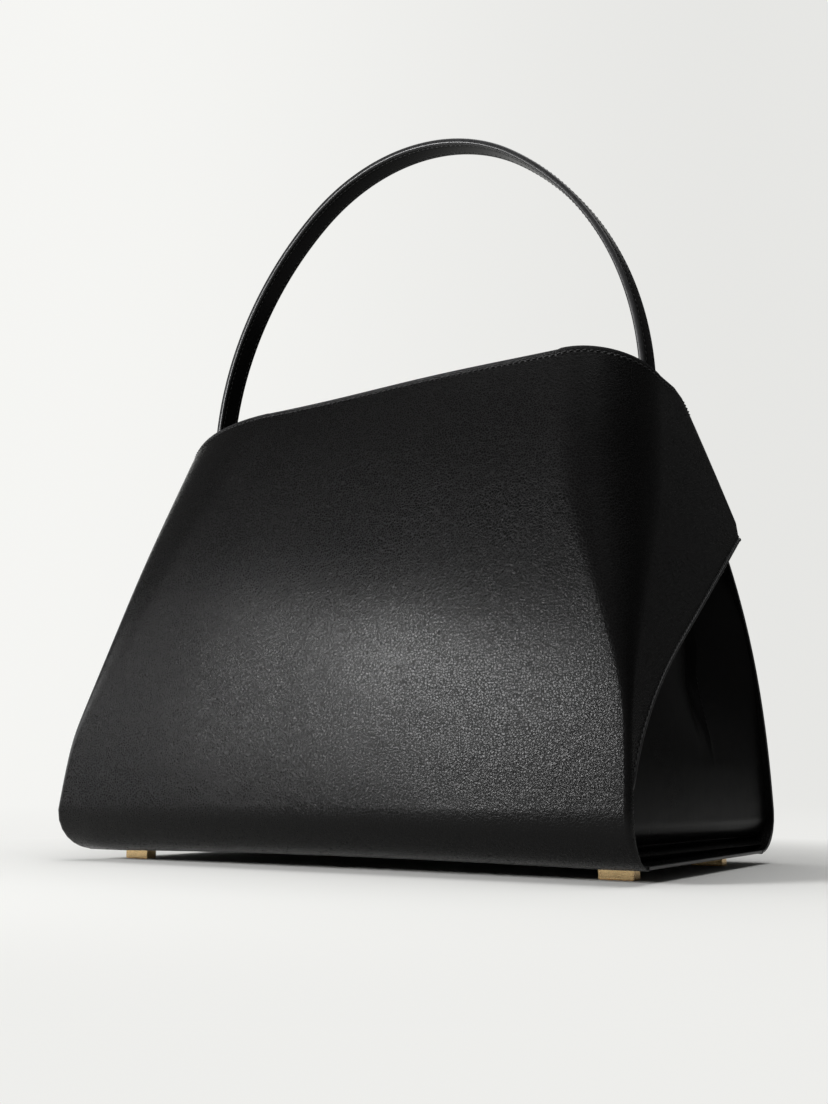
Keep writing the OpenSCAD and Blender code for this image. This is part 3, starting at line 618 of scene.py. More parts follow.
class Value:
    """A shader socket that works in Python expressions: each operator adds its Math node."""

    def __init__(self, tree, socket):
        self.tree, self.socket = tree, socket

    def math(self, operation, *others):
        made = self.tree.nodes.new("ShaderNodeMath")
        made.operation = operation
        for slot, value in zip(made.inputs, (self, *others)):
            feed(self.tree, slot, value)
        return Value(self.tree, made.outputs[0])

    def __add__(self, other):
        return self.math("ADD", other)

    __radd__ = __add__

    def __sub__(self, other):
        return self.math("SUBTRACT", other)

    def __rsub__(self, other):
        return (self * -1.0) + other

    def __mul__(self, other):
        return self.math("MULTIPLY", other)

    def __pow__(self, other):
        return self.math("POWER", other)

    def most(self, other):
        return self.math("MAXIMUM", other)

    def sine(self):
        return self.math("SINE")

    def size(self):
        return self.math("ABSOLUTE")


def feed(tree, socket, value):
    """Sets a socket's number or colour, or links it to another socket."""
    if isinstance(value, Value):
        value = value.socket
    if isinstance(value, bpy.types.NodeSocket):
        tree.links.new(value, socket)
    elif hasattr(socket.default_value, "__len__") and len(socket.default_value) == 4 and len(value) == 3:
        socket.default_value = (*value, 1.0)
    else:
        socket.default_value = value


class Finish:
    """A material under construction."""

    def __init__(self, name):
        self.material = bpy.data.materials.new(name)
        self.material.use_nodes = True
        self.tree = self.material.node_tree
        self.tree.nodes.clear()

    def node(self, kind, settings=None, output=0, **inputs):
        """Adds a node: its settings first, then the values or links of its sockets, named with underscores
        for spaces or by number as n0, n1. Gives the output asked for, or the node itself for None."""
        made = self.tree.nodes.new("ShaderNode" + kind)
        for key, value in (settings or {}).items():
            setattr(made, key, value)
        for key, value in inputs.items():
            numbered = key[0] == "n" and key[1:].isdigit()
            feed(self.tree, made.inputs[int(key[1:]) if numbered else key.replace("_", " ")], value)
        return Value(self.tree, made.outputs[output]) if output is not None else made

    def place(self):
        return self.node("TexCoord", output="Object")

    def surface(self):
        return self.node("TexCoord", output="UV")

    def noise(self, scale, detail=2.0, vector=None, roughness=0.5):
        return self.node("TexNoise", Vector=vector or self.place(), Scale=scale, Detail=detail,
                         Roughness=roughness)

    def stretched(self, vector, factors):
        return self.node("Mapping", Vector=vector, Scale=factors)

    def cells(self, scale, vector=None, feature="F1"):
        return self.node("TexVoronoi", {"feature": feature}, Vector=vector or self.place(), Scale=scale)

    def split(self, vector):
        """The three coordinates of a vector."""
        made = self.node("SeparateXYZ", output=None, n0=vector)
        return [Value(self.tree, socket) for socket in made.outputs]

    def step(self, value, low, high, to_low=0.0, to_high=1.0):
        """Soft step: to_low under low, to_high over high."""
        return self.node("MapRange", {"interpolation_type": "SMOOTHSTEP"}, n0=value, n1=low, n2=high,
                         n3=to_low, n4=to_high)

    def blend(self, factor, first, second):
        return self.node("Mix", {"data_type": "RGBA"}, output=2, n0=factor, n6=first, n7=second)

    def attribute(self, name):
        return self.node("Attribute", {"attribute_name": name}, output="Fac")

    def bump(self, height, distance, strength=1.0, normal=None):
        under = {} if normal is None else {"Normal": normal}
        return self.node("Bump", Height=height, Distance=distance, Strength=strength, **under)

    def done(self, **inputs):
        """Adds the shader and the output. Keyword names are the shader's sockets with underscores."""
        shader = self.node("BsdfPrincipled", **inputs)
        self.node("OutputMaterial", output=None, Surface=shader)
        return self.material


def tinted(tone, factor):
    return tuple(min(c * factor, 1.0) for c in tone)


def grained_leather(colours):
    """Pebbled leather: rounded cells of two sizes with fine creases between them, darkened as painted shade;
    flatter and darker along a painted edge, where a channel for the stitches runs, darkened as painted shade,
    and where the bead of edge paint is lightened partly as a painted highlight."""
    f = Finish("grained_leather")
    width = colours.grain
    drift = f.node("TexNoise", output="Color", Vector=f.place(), Scale=0.35 / width, Detail=1.0)
    warp = f.node("VectorMath", {"operation": "SCALE"}, n0=drift, Scale=width * 0.9)
    at = f.node("VectorMath", {"operation": "ADD"}, n0=f.place(), n1=warp)
    pebbles = f.cells(1.0 / width, vector=at, feature="SMOOTH_F1")
    small = f.cells(2.1 / width, vector=at)
    crease = f.step(f.cells(0.95 / width, vector=at, feature="DISTANCE_TO_EDGE"), 0.0, 0.14)
    pores = f.noise(3.2 / width, 3.0)
    slow = f.noise(14.0, 3.0)
    edge = f.attribute("edge_distance")
    worn = f.step(edge, 0.0005, 0.0045, 1.0, 0.0)
    bead = f.step(edge, 0.0008, 0.0017, 1.0, 0.0)
    groove = f.step((edge - 0.0029).size(), 0.0, 0.0009)
    grain = (1.0 - pebbles) * 0.7 + (1.0 - small) * 0.35 + crease * 0.30 + pores * 0.65
    height = grain * (1.0 - worn * 0.6)
    pressed = f.bump(groove + bead * 0.9, 0.0006)
    fine = f.bump(height, 0.00011, 0.9, normal=pressed)
    broad = f.bump(f.noise(95.0, 3.0, roughness=0.55) + slow * 1.5, 0.0002, 0.5, normal=fine)
    tone = f.blend(slow, tinted(colours.leather, 0.75), tinted(colours.leather, 1.25))
    # Painted shade: the creases between the pebbles are darkened to 0.55 of the leather.
    tone = f.blend(crease, tinted(colours.leather, 0.55), tone)
    tone = f.blend(worn * 0.5, tone, tinted(colours.edge, 0.8))
    # Painted shade: the channel for the stitches is darkened to 0.35 of the leather.
    tone = f.blend(groove, tinted(colours.leather, 0.35), tone)
    # Partly painted highlight: the bead takes the edge paint's colour, lightened to 1.4 times it.
    tone = f.blend(bead, tone, tinted(colours.edge, 1.4))
    rough = 0.17 + (slow - 0.5) * 0.08 + (1.0 - crease) * 0.34 + (pores - 0.5) * 0.22 - worn * 0.04
    return f.done(Base_Color=tone, Roughness=rough, Normal=broad, Specular_IOR_Level=0.10)


def smooth_leather(colours, name, rough, crease_depth, scale, stretch, shine):
    """Smooth leather: a barely visible grain, long soft creases and a varying polish."""
    f = Finish(name)
    long = f.noise(scale, 3.0, vector=f.stretched(f.place(), stretch), roughness=0.6)
    pores = f.noise(1700.0, 2.0)
    patch = f.noise(22.0, 2.0)
    fine = f.bump(pores, 0.00006, 0.8)
    broad = f.bump(long, crease_depth, 0.6, normal=fine)
    tone = f.blend(patch, tinted(colours.leather, 0.8), tinted(colours.leather, 1.2))
    rough = rough + (patch - 0.5) * 0.12 + (pores - 0.5) * 0.08
    return f.done(Base_Color=tone, Roughness=rough, Normal=broad, Specular_IOR_Level=shine)


def edge_paint(colours):
    """Edge paint: a thin glossy film with slow ripples left by the brush."""
    f = Finish("edge_paint")
    ripple = f.noise(420.0, 2.0)
    tone = f.blend(ripple, tinted(colours.edge, 0.7), tinted(colours.edge, 1.5))
    return f.done(Base_Color=tone, Roughness=0.26 + ripple * 0.14, Normal=f.bump(ripple, 0.00006, 0.7),
                  Specular_IOR_Level=0.42)


def thread_finish(colours):
    """Waxed thread: fine diagonal plies."""
    f = Finish("waxed_thread")
    plies = f.node("TexWave", {"bands_direction": "DIAGONAL"}, output=1, Vector=f.place(), Scale=1500.0,
                   Distortion=1.5)
    fluff = f.noise(2500.0, 1.0)
    tone = f.blend(plies, tinted(colours.thread, 0.6), tinted(colours.thread, 1.5))
    return f.done(Base_Color=tone, Roughness=0.42 + fluff * 0.2, Normal=f.bump(plies, 0.00008, 0.8))


def woven_cloth(name, tone, pitch=0.0006):
    """Twill: two sets of threads crossing at right angles, each a sine across the cloth, offset by rows."""
    f = Finish(name)
    turn = 2 * math.pi / pitch
    x, y = f.split(f.surface())[:2]
    warp = (x * turn).sine() * 0.5 + 0.5
    weft = (y * turn).sine() * 0.5 + 0.5
    twill = ((x + y) * (turn / 4)).sine() * 0.5 + 0.5
    weave = warp * twill + weft * (1.0 - twill)
    slub = f.noise(900.0, 2.0)
    shade = f.noise(30.0, 2.0)
    base = f.blend(weave, tinted(tone, 0.55), tinted(tone, 1.35))
    base = f.blend(shade * 0.5, base, tinted(tone, 0.8))
    woven = f.bump(weave + slub * 0.5, 0.00015, 0.8)
    return f.done(Base_Color=base, Roughness=0.78 + slub * 0.12, Normal=woven, Sheen_Weight=0.25,
                  Sheen_Roughness=0.5)


def satin_metal(name, tone, rough):
    """Satin metal: fine brushed lines and a little tarnish."""
    f = Finish(name)
    lines = f.noise(2600.0, 2.0, vector=f.stretched(f.place(), (0.12, 1.0, 1.0)))
    patch = f.noise(160.0, 3.0)
    base = f.blend(patch * 0.5, tone, tinted(tone, 0.86))
    rough = rough + (lines - 0.5) * 0.16 + (patch - 0.5) * 0.08
    return f.done(Base_Color=base, Metallic=1.0, Roughness=rough, Normal=f.bump(lines, 0.00002, 0.6))


def fibre_board(colours):
    """Pressed board: flecks of fibre, with dark painted ends, as real board edges have, whose dark also
    stands in as painted shade for the recess under the gussets.
    """
    f = Finish("fibre_board")
    flecks = f.noise(500.0, 4.0, vector=f.stretched(f.place(), (0.3, 1.0, 1.0)))
    base = f.blend(flecks, tinted(colours.board, 0.6), tinted(colours.board, 1.3))
    # Painted shade, partly: the ends blend to dark edge paint, as on real board edges, and this also darkens
    # the shade in the recess under the gussets.
    ends = f.step(f.split(f.place())[0].size(), 0.1515, 0.1525)
    base = f.blend(ends, base, tinted(colours.edge, 0.8))
    return f.done(Base_Color=base, Roughness=0.85, Normal=f.bump(flecks, 0.0002, 0.6),
                  Specular_IOR_Level=0.1)


def strap_leather(colours):
    """Strap leather: smooth with a faint grain, and a groove pressed beside each line of stitches."""
    f = Finish("strap_leather")
    pores = f.noise(1500.0, 2.0)
    pebbles = f.cells(900.0, feature="SMOOTH_F1")
    patch = f.noise(30.0, 3.0)
    across = f.split(f.surface())[1]
    groove = f.step((across - 0.0028).size(), 0.0, 0.0006)
    fine = f.bump(pores * 0.6 + pebbles * 0.6, 0.00003, 0.8)
    broad = f.bump(groove, 0.00025, 0.8, normal=fine)
    tone = f.blend(patch, tinted(colours.leather, 0.8), tinted(colours.leather, 1.25))
    rough = 0.27 + (patch - 0.5) * 0.10 + (pores - 0.5) * 0.06
    return f.done(Base_Color=tone, Roughness=rough, Normal=broad, Specular_IOR_Level=0.03)


finishes = {}


def finish(name):
    """The shared material of that name, made the first time that a piece asks for it."""
    colours = bpy.context.scene.tote_colours
    makers = {
        "grained_leather": lambda: grained_leather(colours),
        "gusset_leather": lambda: smooth_leather(colours, "gusset_leather", 0.30, 0.0006, 26.0,
                                                 (1.0, 1.0, 0.7), 0.045),
        "facing_leather": lambda: smooth_leather(colours, "facing_leather", 0.5, 0.0003, 120.0,
                                                 (1.0, 1.0, 1.0), 0.18),
        "strap_leather": lambda: strap_leather(colours),
        "edge_paint": lambda: edge_paint(colours),
        "waxed_thread": lambda: thread_finish(colours),
        "lining_cloth": lambda: woven_cloth("lining_cloth", tuple(colours.lining)),
        "zip_cloth": lambda: woven_cloth("zip_cloth", tinted(colours.lining, 0.8), 0.0011),
        "satin_brass": lambda: satin_metal("satin_brass", tuple(colours.brass), 0.26),
        "plate_steel": lambda: satin_metal("plate_steel", tuple(colours.steel), 0.35),
        "fibre_board": lambda: fibre_board(colours),
    }
    if name not in finishes:
        finishes[name] = makers[name]()
    return finishes[name]


def dress(node, name):
    """Gives a carried-over CAD part its material."""
    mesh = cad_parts[node].data
    mesh.materials.clear()
    mesh.materials.append(finish(name))


# Pieces of the shell


bottom_angles = (0, 1.5, 3, 4.5, 6, 7.5, 9.5, 14, 22, 33, 46, 60, 75)
arc_rows, wall_rows = len(bottom_angles), 64


def sheet_points(shell, col_side, col_st, d):
    """Front sheet with its wings, at depths d: up the quarter circle of the bottom edge, then up the wall
    from the shoulder or the cut edge to the rim. Columns with side 0 lie across the front, at share
    col_st."""
    side = np.where(col_side == 0, 1, col_side)[:, None]
    front = (col_side == 0)[:, None]
    st = col_st[:, None]

    def at(z):
        x, y = shell.end(z, side, np.where(front, 1.0, st), d)
        x = np.where(front, shell.front_face_x(z, np.where(front, st, 0.5)), x)
        y = np.where(front, -shell.half_depth(z) + d[0], y)
        return x, y

    angle = np.radians(bottom_angles)[None]
    shoulder = np.full((1, 1), shell.shoulder)
    corner = shell.end(shoulder, side, np.ones_like(st), d)
    x, y = (np.where(front | (st <= 1), value, end) for value, end in zip(at(shoulder), corner))
    radius = shell.s.bottom_round - d[0] + shell.proud(angle, d[0])
    arc = spread(x, -shell.flat + (y + shell.flat) * np.sin(angle), shell.shoulder - radius * np.cos(angle))
    low = np.where(front, shell.shoulder, shell.wing_low(side, st))
    front_rim = np.full_like(low, shell.s.front_rim)
    rim_y = np.where(front, -shell.mouth_depth / 2, shell.end(front_rim, side, st, shell.outer)[1])
    rim = shell.rim_z(rim_y) + np.where(front, shell.wave(at(front_rim)[0]), 0.0)
    z = low + (rim - low) * np.linspace(0, 1, wall_rows + 1)[None]
    walls = shell.bulged(*at(z), z)
    return shell.tucked(np.concatenate([arc, walls], 1))


def wing_columns():
    """Stations of a wing, closer together near the corner, where the cut edge is steep."""
    s = stations((0, 1, 20), (1, 2, 44), (2, 3, 12), (3, 4, 6))
    return np.where((s > 1) & (s < 2), 1 + np.clip(s - 1, 0, 1) ** 1.6, s)


def between_rows(grid, normal, columns, place):
    """Points of a grid at a broken row number in each column, with the normals of the rows below them."""
    base = np.floor(place).astype(int)
    t = (place - base)[:, None]
    return grid[columns, base] * (1 - t) + grid[columns, base + 1] * t, normal[columns, base]


class TOTE_OT_front(bpy.types.Operator):
    """Make the front sheet with its two wings, the linings of the wings and their stitching"""
    bl_idname = "tote.front"
    bl_label = "Front and wings"

    def execute(self, context):
        s, thread = context.scene.tote_body, context.scene.tote_thread
        shell = Shell(s)
        wing = wing_columns()
        across = np.linspace(0, 1, 97)[1:-1]
        side = np.concatenate([-np.ones(wing.size), np.zeros(across.size), np.ones(wing.size)])
        st = np.concatenate([wing[::-1], across, wing])
        top = sheet_points(shell, side, st, shell.outer)
        up_wall, lean = self.sheet(shell, wing, side, st, top)
        self.wing_linings(shell, wing)
        normal = grid_normals(top)
        wings = [np.flatnonzero((side == sign) & (st > 1.0)) for _, sign in both_ends]
        self.stitches(thread, top, normal, wings, up_wall, lean)
        cuts = [np.flatnonzero((side == sign) & (st >= 1.0) & (st <= 3.0)) for _, sign in both_ends]
        self.beads(s.bead, top, normal, cuts)
        return {"FINISHED"}

    def sheet(self, shell, wing, side, st, top):
        """Makes the sheet. Gives the distance of each point up the wall from the foot of its column, and
        for each column the share of a cut edge's length that runs level."""
        s = shell.s
        under = sheet_points(shell, side, st, (s.shell_t, s.shell_t, -s.gap))
        corner = (side == 0) | (st <= 1)
        keep = np.ones((side.size - 1, arc_rows + wall_rows), bool)
        keep[:, :arc_rows] = (corner[:-1] & corner[1:])[:, None]
        u = lengths(top[:, -1])
        climbs = np.linalg.norm(np.diff(top, axis=1), axis=-1)
        v = np.concatenate([np.zeros((side.size, 1)), np.cumsum(climbs, 1)], 1)
        up_wall = v - v[:, arc_rows:arc_rows + 1]
        low = top[:, arc_rows]
        run = np.linalg.norm(np.gradient(low[:, :2], axis=0), axis=1)
        lean = run / np.maximum(np.hypot(run, np.gradient(low[:, 2])), 1e-9)
        lean = np.where(corner, 1.0, lean)
        first = list(wing).index(1.0)
        to_side = np.minimum(np.abs(u - u[wing.size - 1 - first]),
                             np.abs(u - u[side.size - wing.size + first]))
        cut_gap = np.where(corner[:, None], np.hypot(to_side[:, None], np.maximum(up_wall, 0.0)),
                           up_wall * lean[:, None])
        edge = np.minimum(v[:, -1:] - v, cut_gap)
        points, faces, strip = wall(top, under, keep)
        piece = finish_piece("front_leather", points, faces, "bag",
                             [finish("grained_leather"), finish("edge_paint")], ["front_panel"], strip,
                             doubled(spread(u[:, None], v)), outer_only(edge))
        rounded(piece, 0.0007, 3)
        return up_wall, lean

    def wing_linings(self, shell, wing):
        """Inner leather of the wings, from just inside the cut edge up to the facing."""
        s = shell.s
        st = wing[(wing > 1.0) & (wing <= 3)]
        for name, sign in both_ends:
            low = shell.wing_low(sign, st) + 0.0007
            rim_y = shell.end(np.full(low.shape, s.front_rim), sign, st, shell.outer)[1]
            high = shell.rim_z(rim_y) - s.facing_h - 3 * s.gap
            z = low[:, None] + (np.maximum(high, low + 0.003) - low)[:, None] * np.linspace(0, 1, 26)
            grids = [np.stack([*shell.end(z, sign, st[:, None], (depth,) * 3), z], -1)
                     for depth in (shell.facing_d, shell.facing_d + s.facing_t)]
            points, faces, strip = wall(*grids, flip=sign < 0)
            lining = finish_piece(f"wing_lining_leather_{name}", points, faces, "bag",
                                  [finish("facing_leather"), finish("edge_paint")], [f"wing_lining_{name}"],
                                  strip)
            rounded(lining, 0.0003)

    def stitches(self, thread, top, normal, wings, up_wall, lean):
        """Rows of stitches beside both cut edges and the rim, at an even distance from each."""
        height = np.maximum(up_wall[:, -1], 1e-6)
        rows = [between_rows(top, normal, use, arc_rows + wall_rows * np.clip(
            thread.margin / lean[use] / height[use], 0, 0.98)) for use in wings]
        drop = np.clip(thread.margin / height * wall_rows, 0, wall_rows - 1)
        rows.append(between_rows(top, normal, np.arange(len(top)), arc_rows + wall_rows - drop))
        stitched("front_stitches", rows, thread, "bag", slant=0.12)

    def beads(self, radius, top, normal, cuts):
        """Bead of edge paint along each cut edge: rings of a circle on the edge's path, which shrink to its
        ends."""
        sides, taper, inset = 10, 0.004, 0.0006
        turn = np.arange(sides) * 2 * np.pi / sides
        even = np.arange(0, sides, 2)
        parts = []
        for use in cuts:
            path, out = top[use, arc_rows], normal[use, arc_rows]
            inward = np.cross(unit(np.gradient(path, axis=0)), out)
            inward = unit(inward * np.sign(inward[:, 2:]))
            run = lengths(path)
            ends_in = np.sqrt(clamp(np.minimum(run, run[-1] - run) / taper) + 0.01)
            r = (radius * np.minimum(ends_in, 1.0))[:, None, None]
            middle = path + inward * inset - out * radius * 0.45
            ring = out[:, None] * np.cos(turn)[:, None] + inward[:, None] * np.sin(turn)[:, None]
            points = np.concatenate([(middle[:, None] + ring * r).reshape(-1, 3), middle[[0, -1]]])
            centre, last = len(use) * sides, (len(use) - 1) * sides
            faces = np.concatenate([
                grid_faces(len(use), sides, ring_v=True).reshape(-1, 4),
                spread(centre, (even + 2) % sides, even + 1, even),
                spread(centre + 1, last + even, last + even + 1, last + (even + 2) % sides)])
            a, b, c = (points[faces[:len(use), i]] for i in (0, 1, 2))
            inside_out = (np.cross(b - a, c - a) * (a - middle[0])).sum() < 0
            parts.append((points, faces[:, ::-1] if inside_out else faces))
        points, faces = joined(parts)
        finish_piece("cut_edge_paint", points, faces, "bag", [finish("edge_paint")])


class TOTE_OT_back(bpy.types.Operator):
    """Make the back panel and the base leather"""
    bl_idname = "tote.back"
    bl_label = "Back and base"

    def execute(self, context):
        s, thread = context.scene.tote_body, context.scene.tote_thread
        shell = Shell(s)
        u = np.linspace(-1, 1, 121)[:, None]
        side = np.where(u < 0, -1, 1)
        angle = np.radians(bottom_angles)[None]
        z = mix(shell.shoulder, s.back_rim, np.linspace(0, 1, 61))[None]

        def grid(d):
            radius = s.bottom_round - d
            arc = spread(u * s.width / 2, shell.flat + radius * np.sin(angle),
                         shell.shoulder - (radius + shell.proud(angle, d)) * np.cos(angle))
            x = u * shell.back_half(z, side)
            walls = shell.bulged(x, shell.half_depth(z) - d + 0 * x, z + 0 * x)
            return shell.tucked(np.concatenate([arc, walls], 1))

        top, under = grid(0.0), grid(s.shell_t)
        x_run = np.abs(top[..., 0])
        edge = np.minimum(s.back_rim - top[..., 2], np.abs(x_run[[-1]] - x_run))
        points, faces, strip = wall(top, under, flip=True)
        piece = finish_piece("back_leather", points, faces, "bag",
                             [finish("grained_leather"), finish("edge_paint")], ["back_panel"], strip,
                             doubled(top[..., [0, 2]]), outer_only(edge))
        rounded(piece, 0.0007, 3)

        x = np.linspace(-1, 1, 61)[:, None] * s.width / 2
        y = np.linspace(-1, 1, 31)[None] * shell.flat
        crown = 0.0001 * np.cos(x / s.width * np.pi) * np.cos(y / shell.flat * np.pi / 2)
        low = shell.tucked(spread(x, y, s.base_height + crown))
        high = low + np.array([0, 0, s.shell_t])
        edge = np.minimum(s.width / 2 - np.abs(x), shell.flat - np.abs(y))
        points, faces, strip = wall(low, high, flip=True)
        base = finish_piece("base_leather", points, faces, "bag",
                            [finish("grained_leather"), finish("edge_paint")], ["base_panel"], strip,
                            doubled(spread(x, y)), outer_only(edge))
        rounded(base, 0.0004)

        normal = -grid_normals(top)
        rim = top[:, -1] * 0.86 + top[:, -2] * 0.14
        rows = [(rim + np.array([0, 0, -0.0022]), normal[:, -2])]
        reach = s.width / 2 - 0.003
        seam_x = np.linspace(-reach, reach, 200)
        for sign in (-1, 1):
            path = shell.tucked(spread(seam_x, sign * (shell.flat - thread.margin), s.base_height))
            rows.append((path, np.tile([0.0, 0.0, -1.0], (seam_x.size, 1))))
        stitched("back_and_base_stitches", rows, thread, "bag")
        return {"FINISHED"}


def across_gusset(front, crease, back):
    """Stations across a gusset, closer together round its crease. Takes the steps in each part."""
    return stations((0, 0.62, front), (0.62, 0.86, crease), (0.86, 1, back))


class TOTE_OT_gussets(bpy.types.Operator):
    """Make the pleated gussets between the front and back edges"""
    bl_idname = "tote.gussets"
    bl_label = "Gussets"

    def execute(self, context):
        s = context.scene.tote_body
        shell = Shell(s)
        low_edge = s.base_height + s.shell_t + 2 * s.gap + 0.002
        v = across_gusset(24, 44, 8)
        for name, sign in both_ends:
            z = shell.climb(low_edge, shell.gusset_top(sign, v, -6 * s.gap), 14, 60)
            low, high = (shell.gusset(z, sign, v[:, None], d) for d in (0.0, s.gusset_t))
            points, faces, _ = wall(low, high, flip=sign < 0)
            piece = finish_piece(f"gusset_leather_{name}", points, faces, "bag",
                                 [finish("gusset_leather")], [f"gusset_{name}"], None,
                                 doubled(low[..., [1, 2]]))
            rounded(piece, 0.0003)
        return {"FINISHED"}


pocket_t = 0.0012


class TOTE_OT_inside(bpy.types.Operator):
    """Make the facing along the rim, the cloth linings and the pocket behind the zip"""
    bl_idname = "tote.inside"
    bl_label = "Facing and linings"

    def execute(self, context):
        s, thread = context.scene.tote_body, context.scene.tote_thread
        shell = Shell(s)
        self.facing(s, shell, thread)
        self.linings(s, shell)
        return {"FINISHED"}

    def facing(self, s, shell, thread):
        """Band of leather inside the rim, closed on itself. Side 0 is the front and side 2 the back."""
        wing = stations((0, 1, 20), (1, 2, 10), (2, 3, 14))
        face = np.linspace(0, 1, 41)[1:-1]
        side = np.concatenate([-np.ones(wing.size), np.zeros(face.size), np.ones(wing.size),
                               2 * np.ones(face.size)])
        st = np.concatenate([wing[::-1], face, wing, face])[:, None]
        below = np.linspace(s.facing_h, 0, 12)[None]
        is_end, is_front = (np.abs(side) == 1)[:, None], (side == 0)[:, None]
        end_side = np.where(is_end, side[:, None], 1)

        def grid(depth):
            d = (depth,) * 3
            rim = np.full((side.size, 1), s.front_rim)
            y = np.where(is_end, shell.end(rim, end_side, st, d)[1],
                         np.where(is_front, -shell.mouth_depth / 2, shell.mouth_depth / 2))
            z = shell.rim_z(y) - s.gap - below
            x, y = shell.end(z, end_side, st, d)
            back_x = mix(shell.half_width(z, 1) - shell.back_r(z, 1),
                         -shell.half_width(z, -1) + shell.back_r(z, -1), st)
            x = np.where(is_end, x, np.where(is_front, shell.front_face_x(z, st), back_x))
            z = z + np.where(is_front, shell.wave(x), 0.0)
            flat_y = np.where(is_front, -shell.half_depth(z) + depth, shell.half_depth(z) - depth)
            return np.stack([x, np.where(is_end, y, flat_y), z], -1)

        outer, inner = grid(shell.facing_d), grid(shell.facing_d + s.facing_t)
        points, faces, strip = wall(outer, inner, ring=True)
        piece = finish_piece("facing_leather", points, faces, "bag",
                             [finish("facing_leather"), finish("edge_paint")], ["rim_facing"], strip)
        rounded(piece, 0.0003)
        normal = -grid_normals(inner)
        closed = np.concatenate([np.arange(side.size), [0]])
        rows = [(inner[closed, row], normal[closed, row]) for row in (1, -2)]
        stitched("facing_stitches", rows, thread, "bag")

    def cloth(self, name, node, grids, axes, keep=None, flip=False):
        """Makes a sheet of lining cloth between two grids. Its UV map is two of its coordinates."""
        points, faces, _ = wall(*grids, keep, flip=flip)
        finish_piece(name, points, faces, "bag", [finish("lining_cloth")], [node], None,
                     doubled(grids[0][..., axes]))

    def linings(self, s, shell):
        """Cloth on the four walls and the floor, and the pocket. The front and back walls reach into the
        corners by a sine of the share across, and the back one has a slot for the zip."""
        board_gap, board_t, floor_gap = 0.002, 0.0008, 0.0005
        floor = s.base_height + s.shell_t + s.gap + board_gap + board_t + floor_gap + s.gap + s.lining_t
        back_d = shell.facing_d + pocket_t + s.gap
        front_d = shell.facing_d + s.facing_t + 2 * s.gap
        arc_n, wall_n, side_gap, slot_half = 6, 40, 0.0029, 0.0025
        u = np.linspace(-1, 1, 61)[:, None]
        side = np.where(u < 0, -1, 1)
        for name, front, d, top in (("front", True, front_d, s.front_rim),
                                    ("back", False, back_d, s.back_rim)):
            z = shell.climb(floor + s.gap, [top - s.facing_h + 4 * s.gap], arc_n, wall_n)
            reach = shell.gusset_front_x(z, side) if front else shell.gusset_back_x(z, side)
            x = np.sin(np.pi / 2 * u) * (reach - side_gap)
            grids = [spread(x, shell.front_y(z, x, depth) if front else shell.half_depth(z, depth), z)
                     for depth in (d, d + s.lining_t)]
            middle = (grids[0][:-1, :-1] + grids[0][1:, 1:]) / 2
            in_slot = (np.abs(middle[..., 0]) < zip_half_length()) & (
                np.abs(middle[..., 2] - zip_height()) < slot_half)
            keep = None if front else ~in_slot
            self.cloth(f"lining_cloth_{name}", f"lining_{name}", grids, [0, 2], keep, not front)
        v = across_gusset(14, 22, 6)
        inset = back_d + s.lining_t + 2 * s.gap - shell.facing_d - s.gap
        d = s.gusset_t + 2 * s.gap
        for name, sign in both_ends:
            z = shell.climb(floor + s.gap, shell.gusset_top(sign, v, 5 * s.gap), arc_n, wall_n)
            grids = [shell.gusset(z, sign, v[:, None], depth, inset) for depth in (d, d + s.lining_t)]
            self.cloth(f"lining_cloth_{name}", f"lining_{name}", grids, [1, 2], None, sign < 0)
        low, high = box("lining_base")
        reach = shell.half_width(low[2], 1) - shell.setback(low[2]) - 0.0025
        x = np.linspace(-reach, reach, 61)[:, None]
        y = np.linspace(low[1], high[1], 41)[None]
        sag = 0.0003 * np.sin(40 * x) * np.sin(55 * y + 1.0)
        grids = [spread(x, y, level + sag) for level in (high[2], low[2])]
        self.cloth("lining_cloth_base", "lining_base", grids, [0, 1])
        low, high = box("pocket_bag")
        x = np.linspace(low[0], high[0], 41)[:, None]
        z = np.linspace(low[2], high[2], 31)[None]
        grids = [spread(x, shell.half_depth(z, depth), z)
                 for depth in (shell.facing_d, shell.facing_d + pocket_t)]
        self.cloth("pocket_cloth", "pocket_bag", grids, [0, 2], None, True)


def zip_height():
    low, high = box("zip_teeth")
    return (low[2] + high[2]) / 2


def zip_half_length():
    return box("zip_stops")[1][0]


class TOTE_OT_zip(bpy.types.Operator):
    """Make the zip's tapes and finish its metal"""
    bl_idname = "tote.zip"
    bl_label = "Zip"

    def execute(self, context):
        s = context.scene.tote_body
        shell = Shell(s)
        low, high = box("zip_tapes")
        gap, width, thick = 0.0008, 0.012, 0.0006
        z0 = zip_height()
        lean = math.atan2(float(shell.half_depth(z0 - 0.001) - shell.half_depth(z0 + 0.001)), 0.002)
        y0 = float(shell.half_depth(z0, shell.facing_d + pocket_t + s.gap + s.lining_t))
        parts, uvs = [], []
        x = np.linspace(low[0], high[0], 81)[:, None]
        for sign in (-1, 1):
            up = sign * np.linspace(gap, gap + width, 13)[None]
            ripple = 0.00008 * np.sin(x * 900) * np.exp(-np.abs(up - sign * gap) / 0.003)
            grids = []
            for depth in (-s.gap, -s.gap - thick):
                y = depth + ripple
                grids.append(spread(x, y0 + y * math.cos(lean) - up * math.sin(lean),
                                    z0 + up * math.cos(lean) + y * math.sin(lean)))
            parts.append(wall(*grids, flip=sign < 0)[:2])
            uvs.append(doubled(spread(x, up)))
        points, faces = joined(parts)
        finish_piece("zip_tape_cloth", points, faces, "bag", [finish("zip_cloth")],
                     ["zip_tapes"], None, np.concatenate(uvs))
        for node in ("zip_teeth", "zip_stops", "zip_slider", "zip_puller"):
            dress(node, "satin_brass")
        return {"FINISHED"}


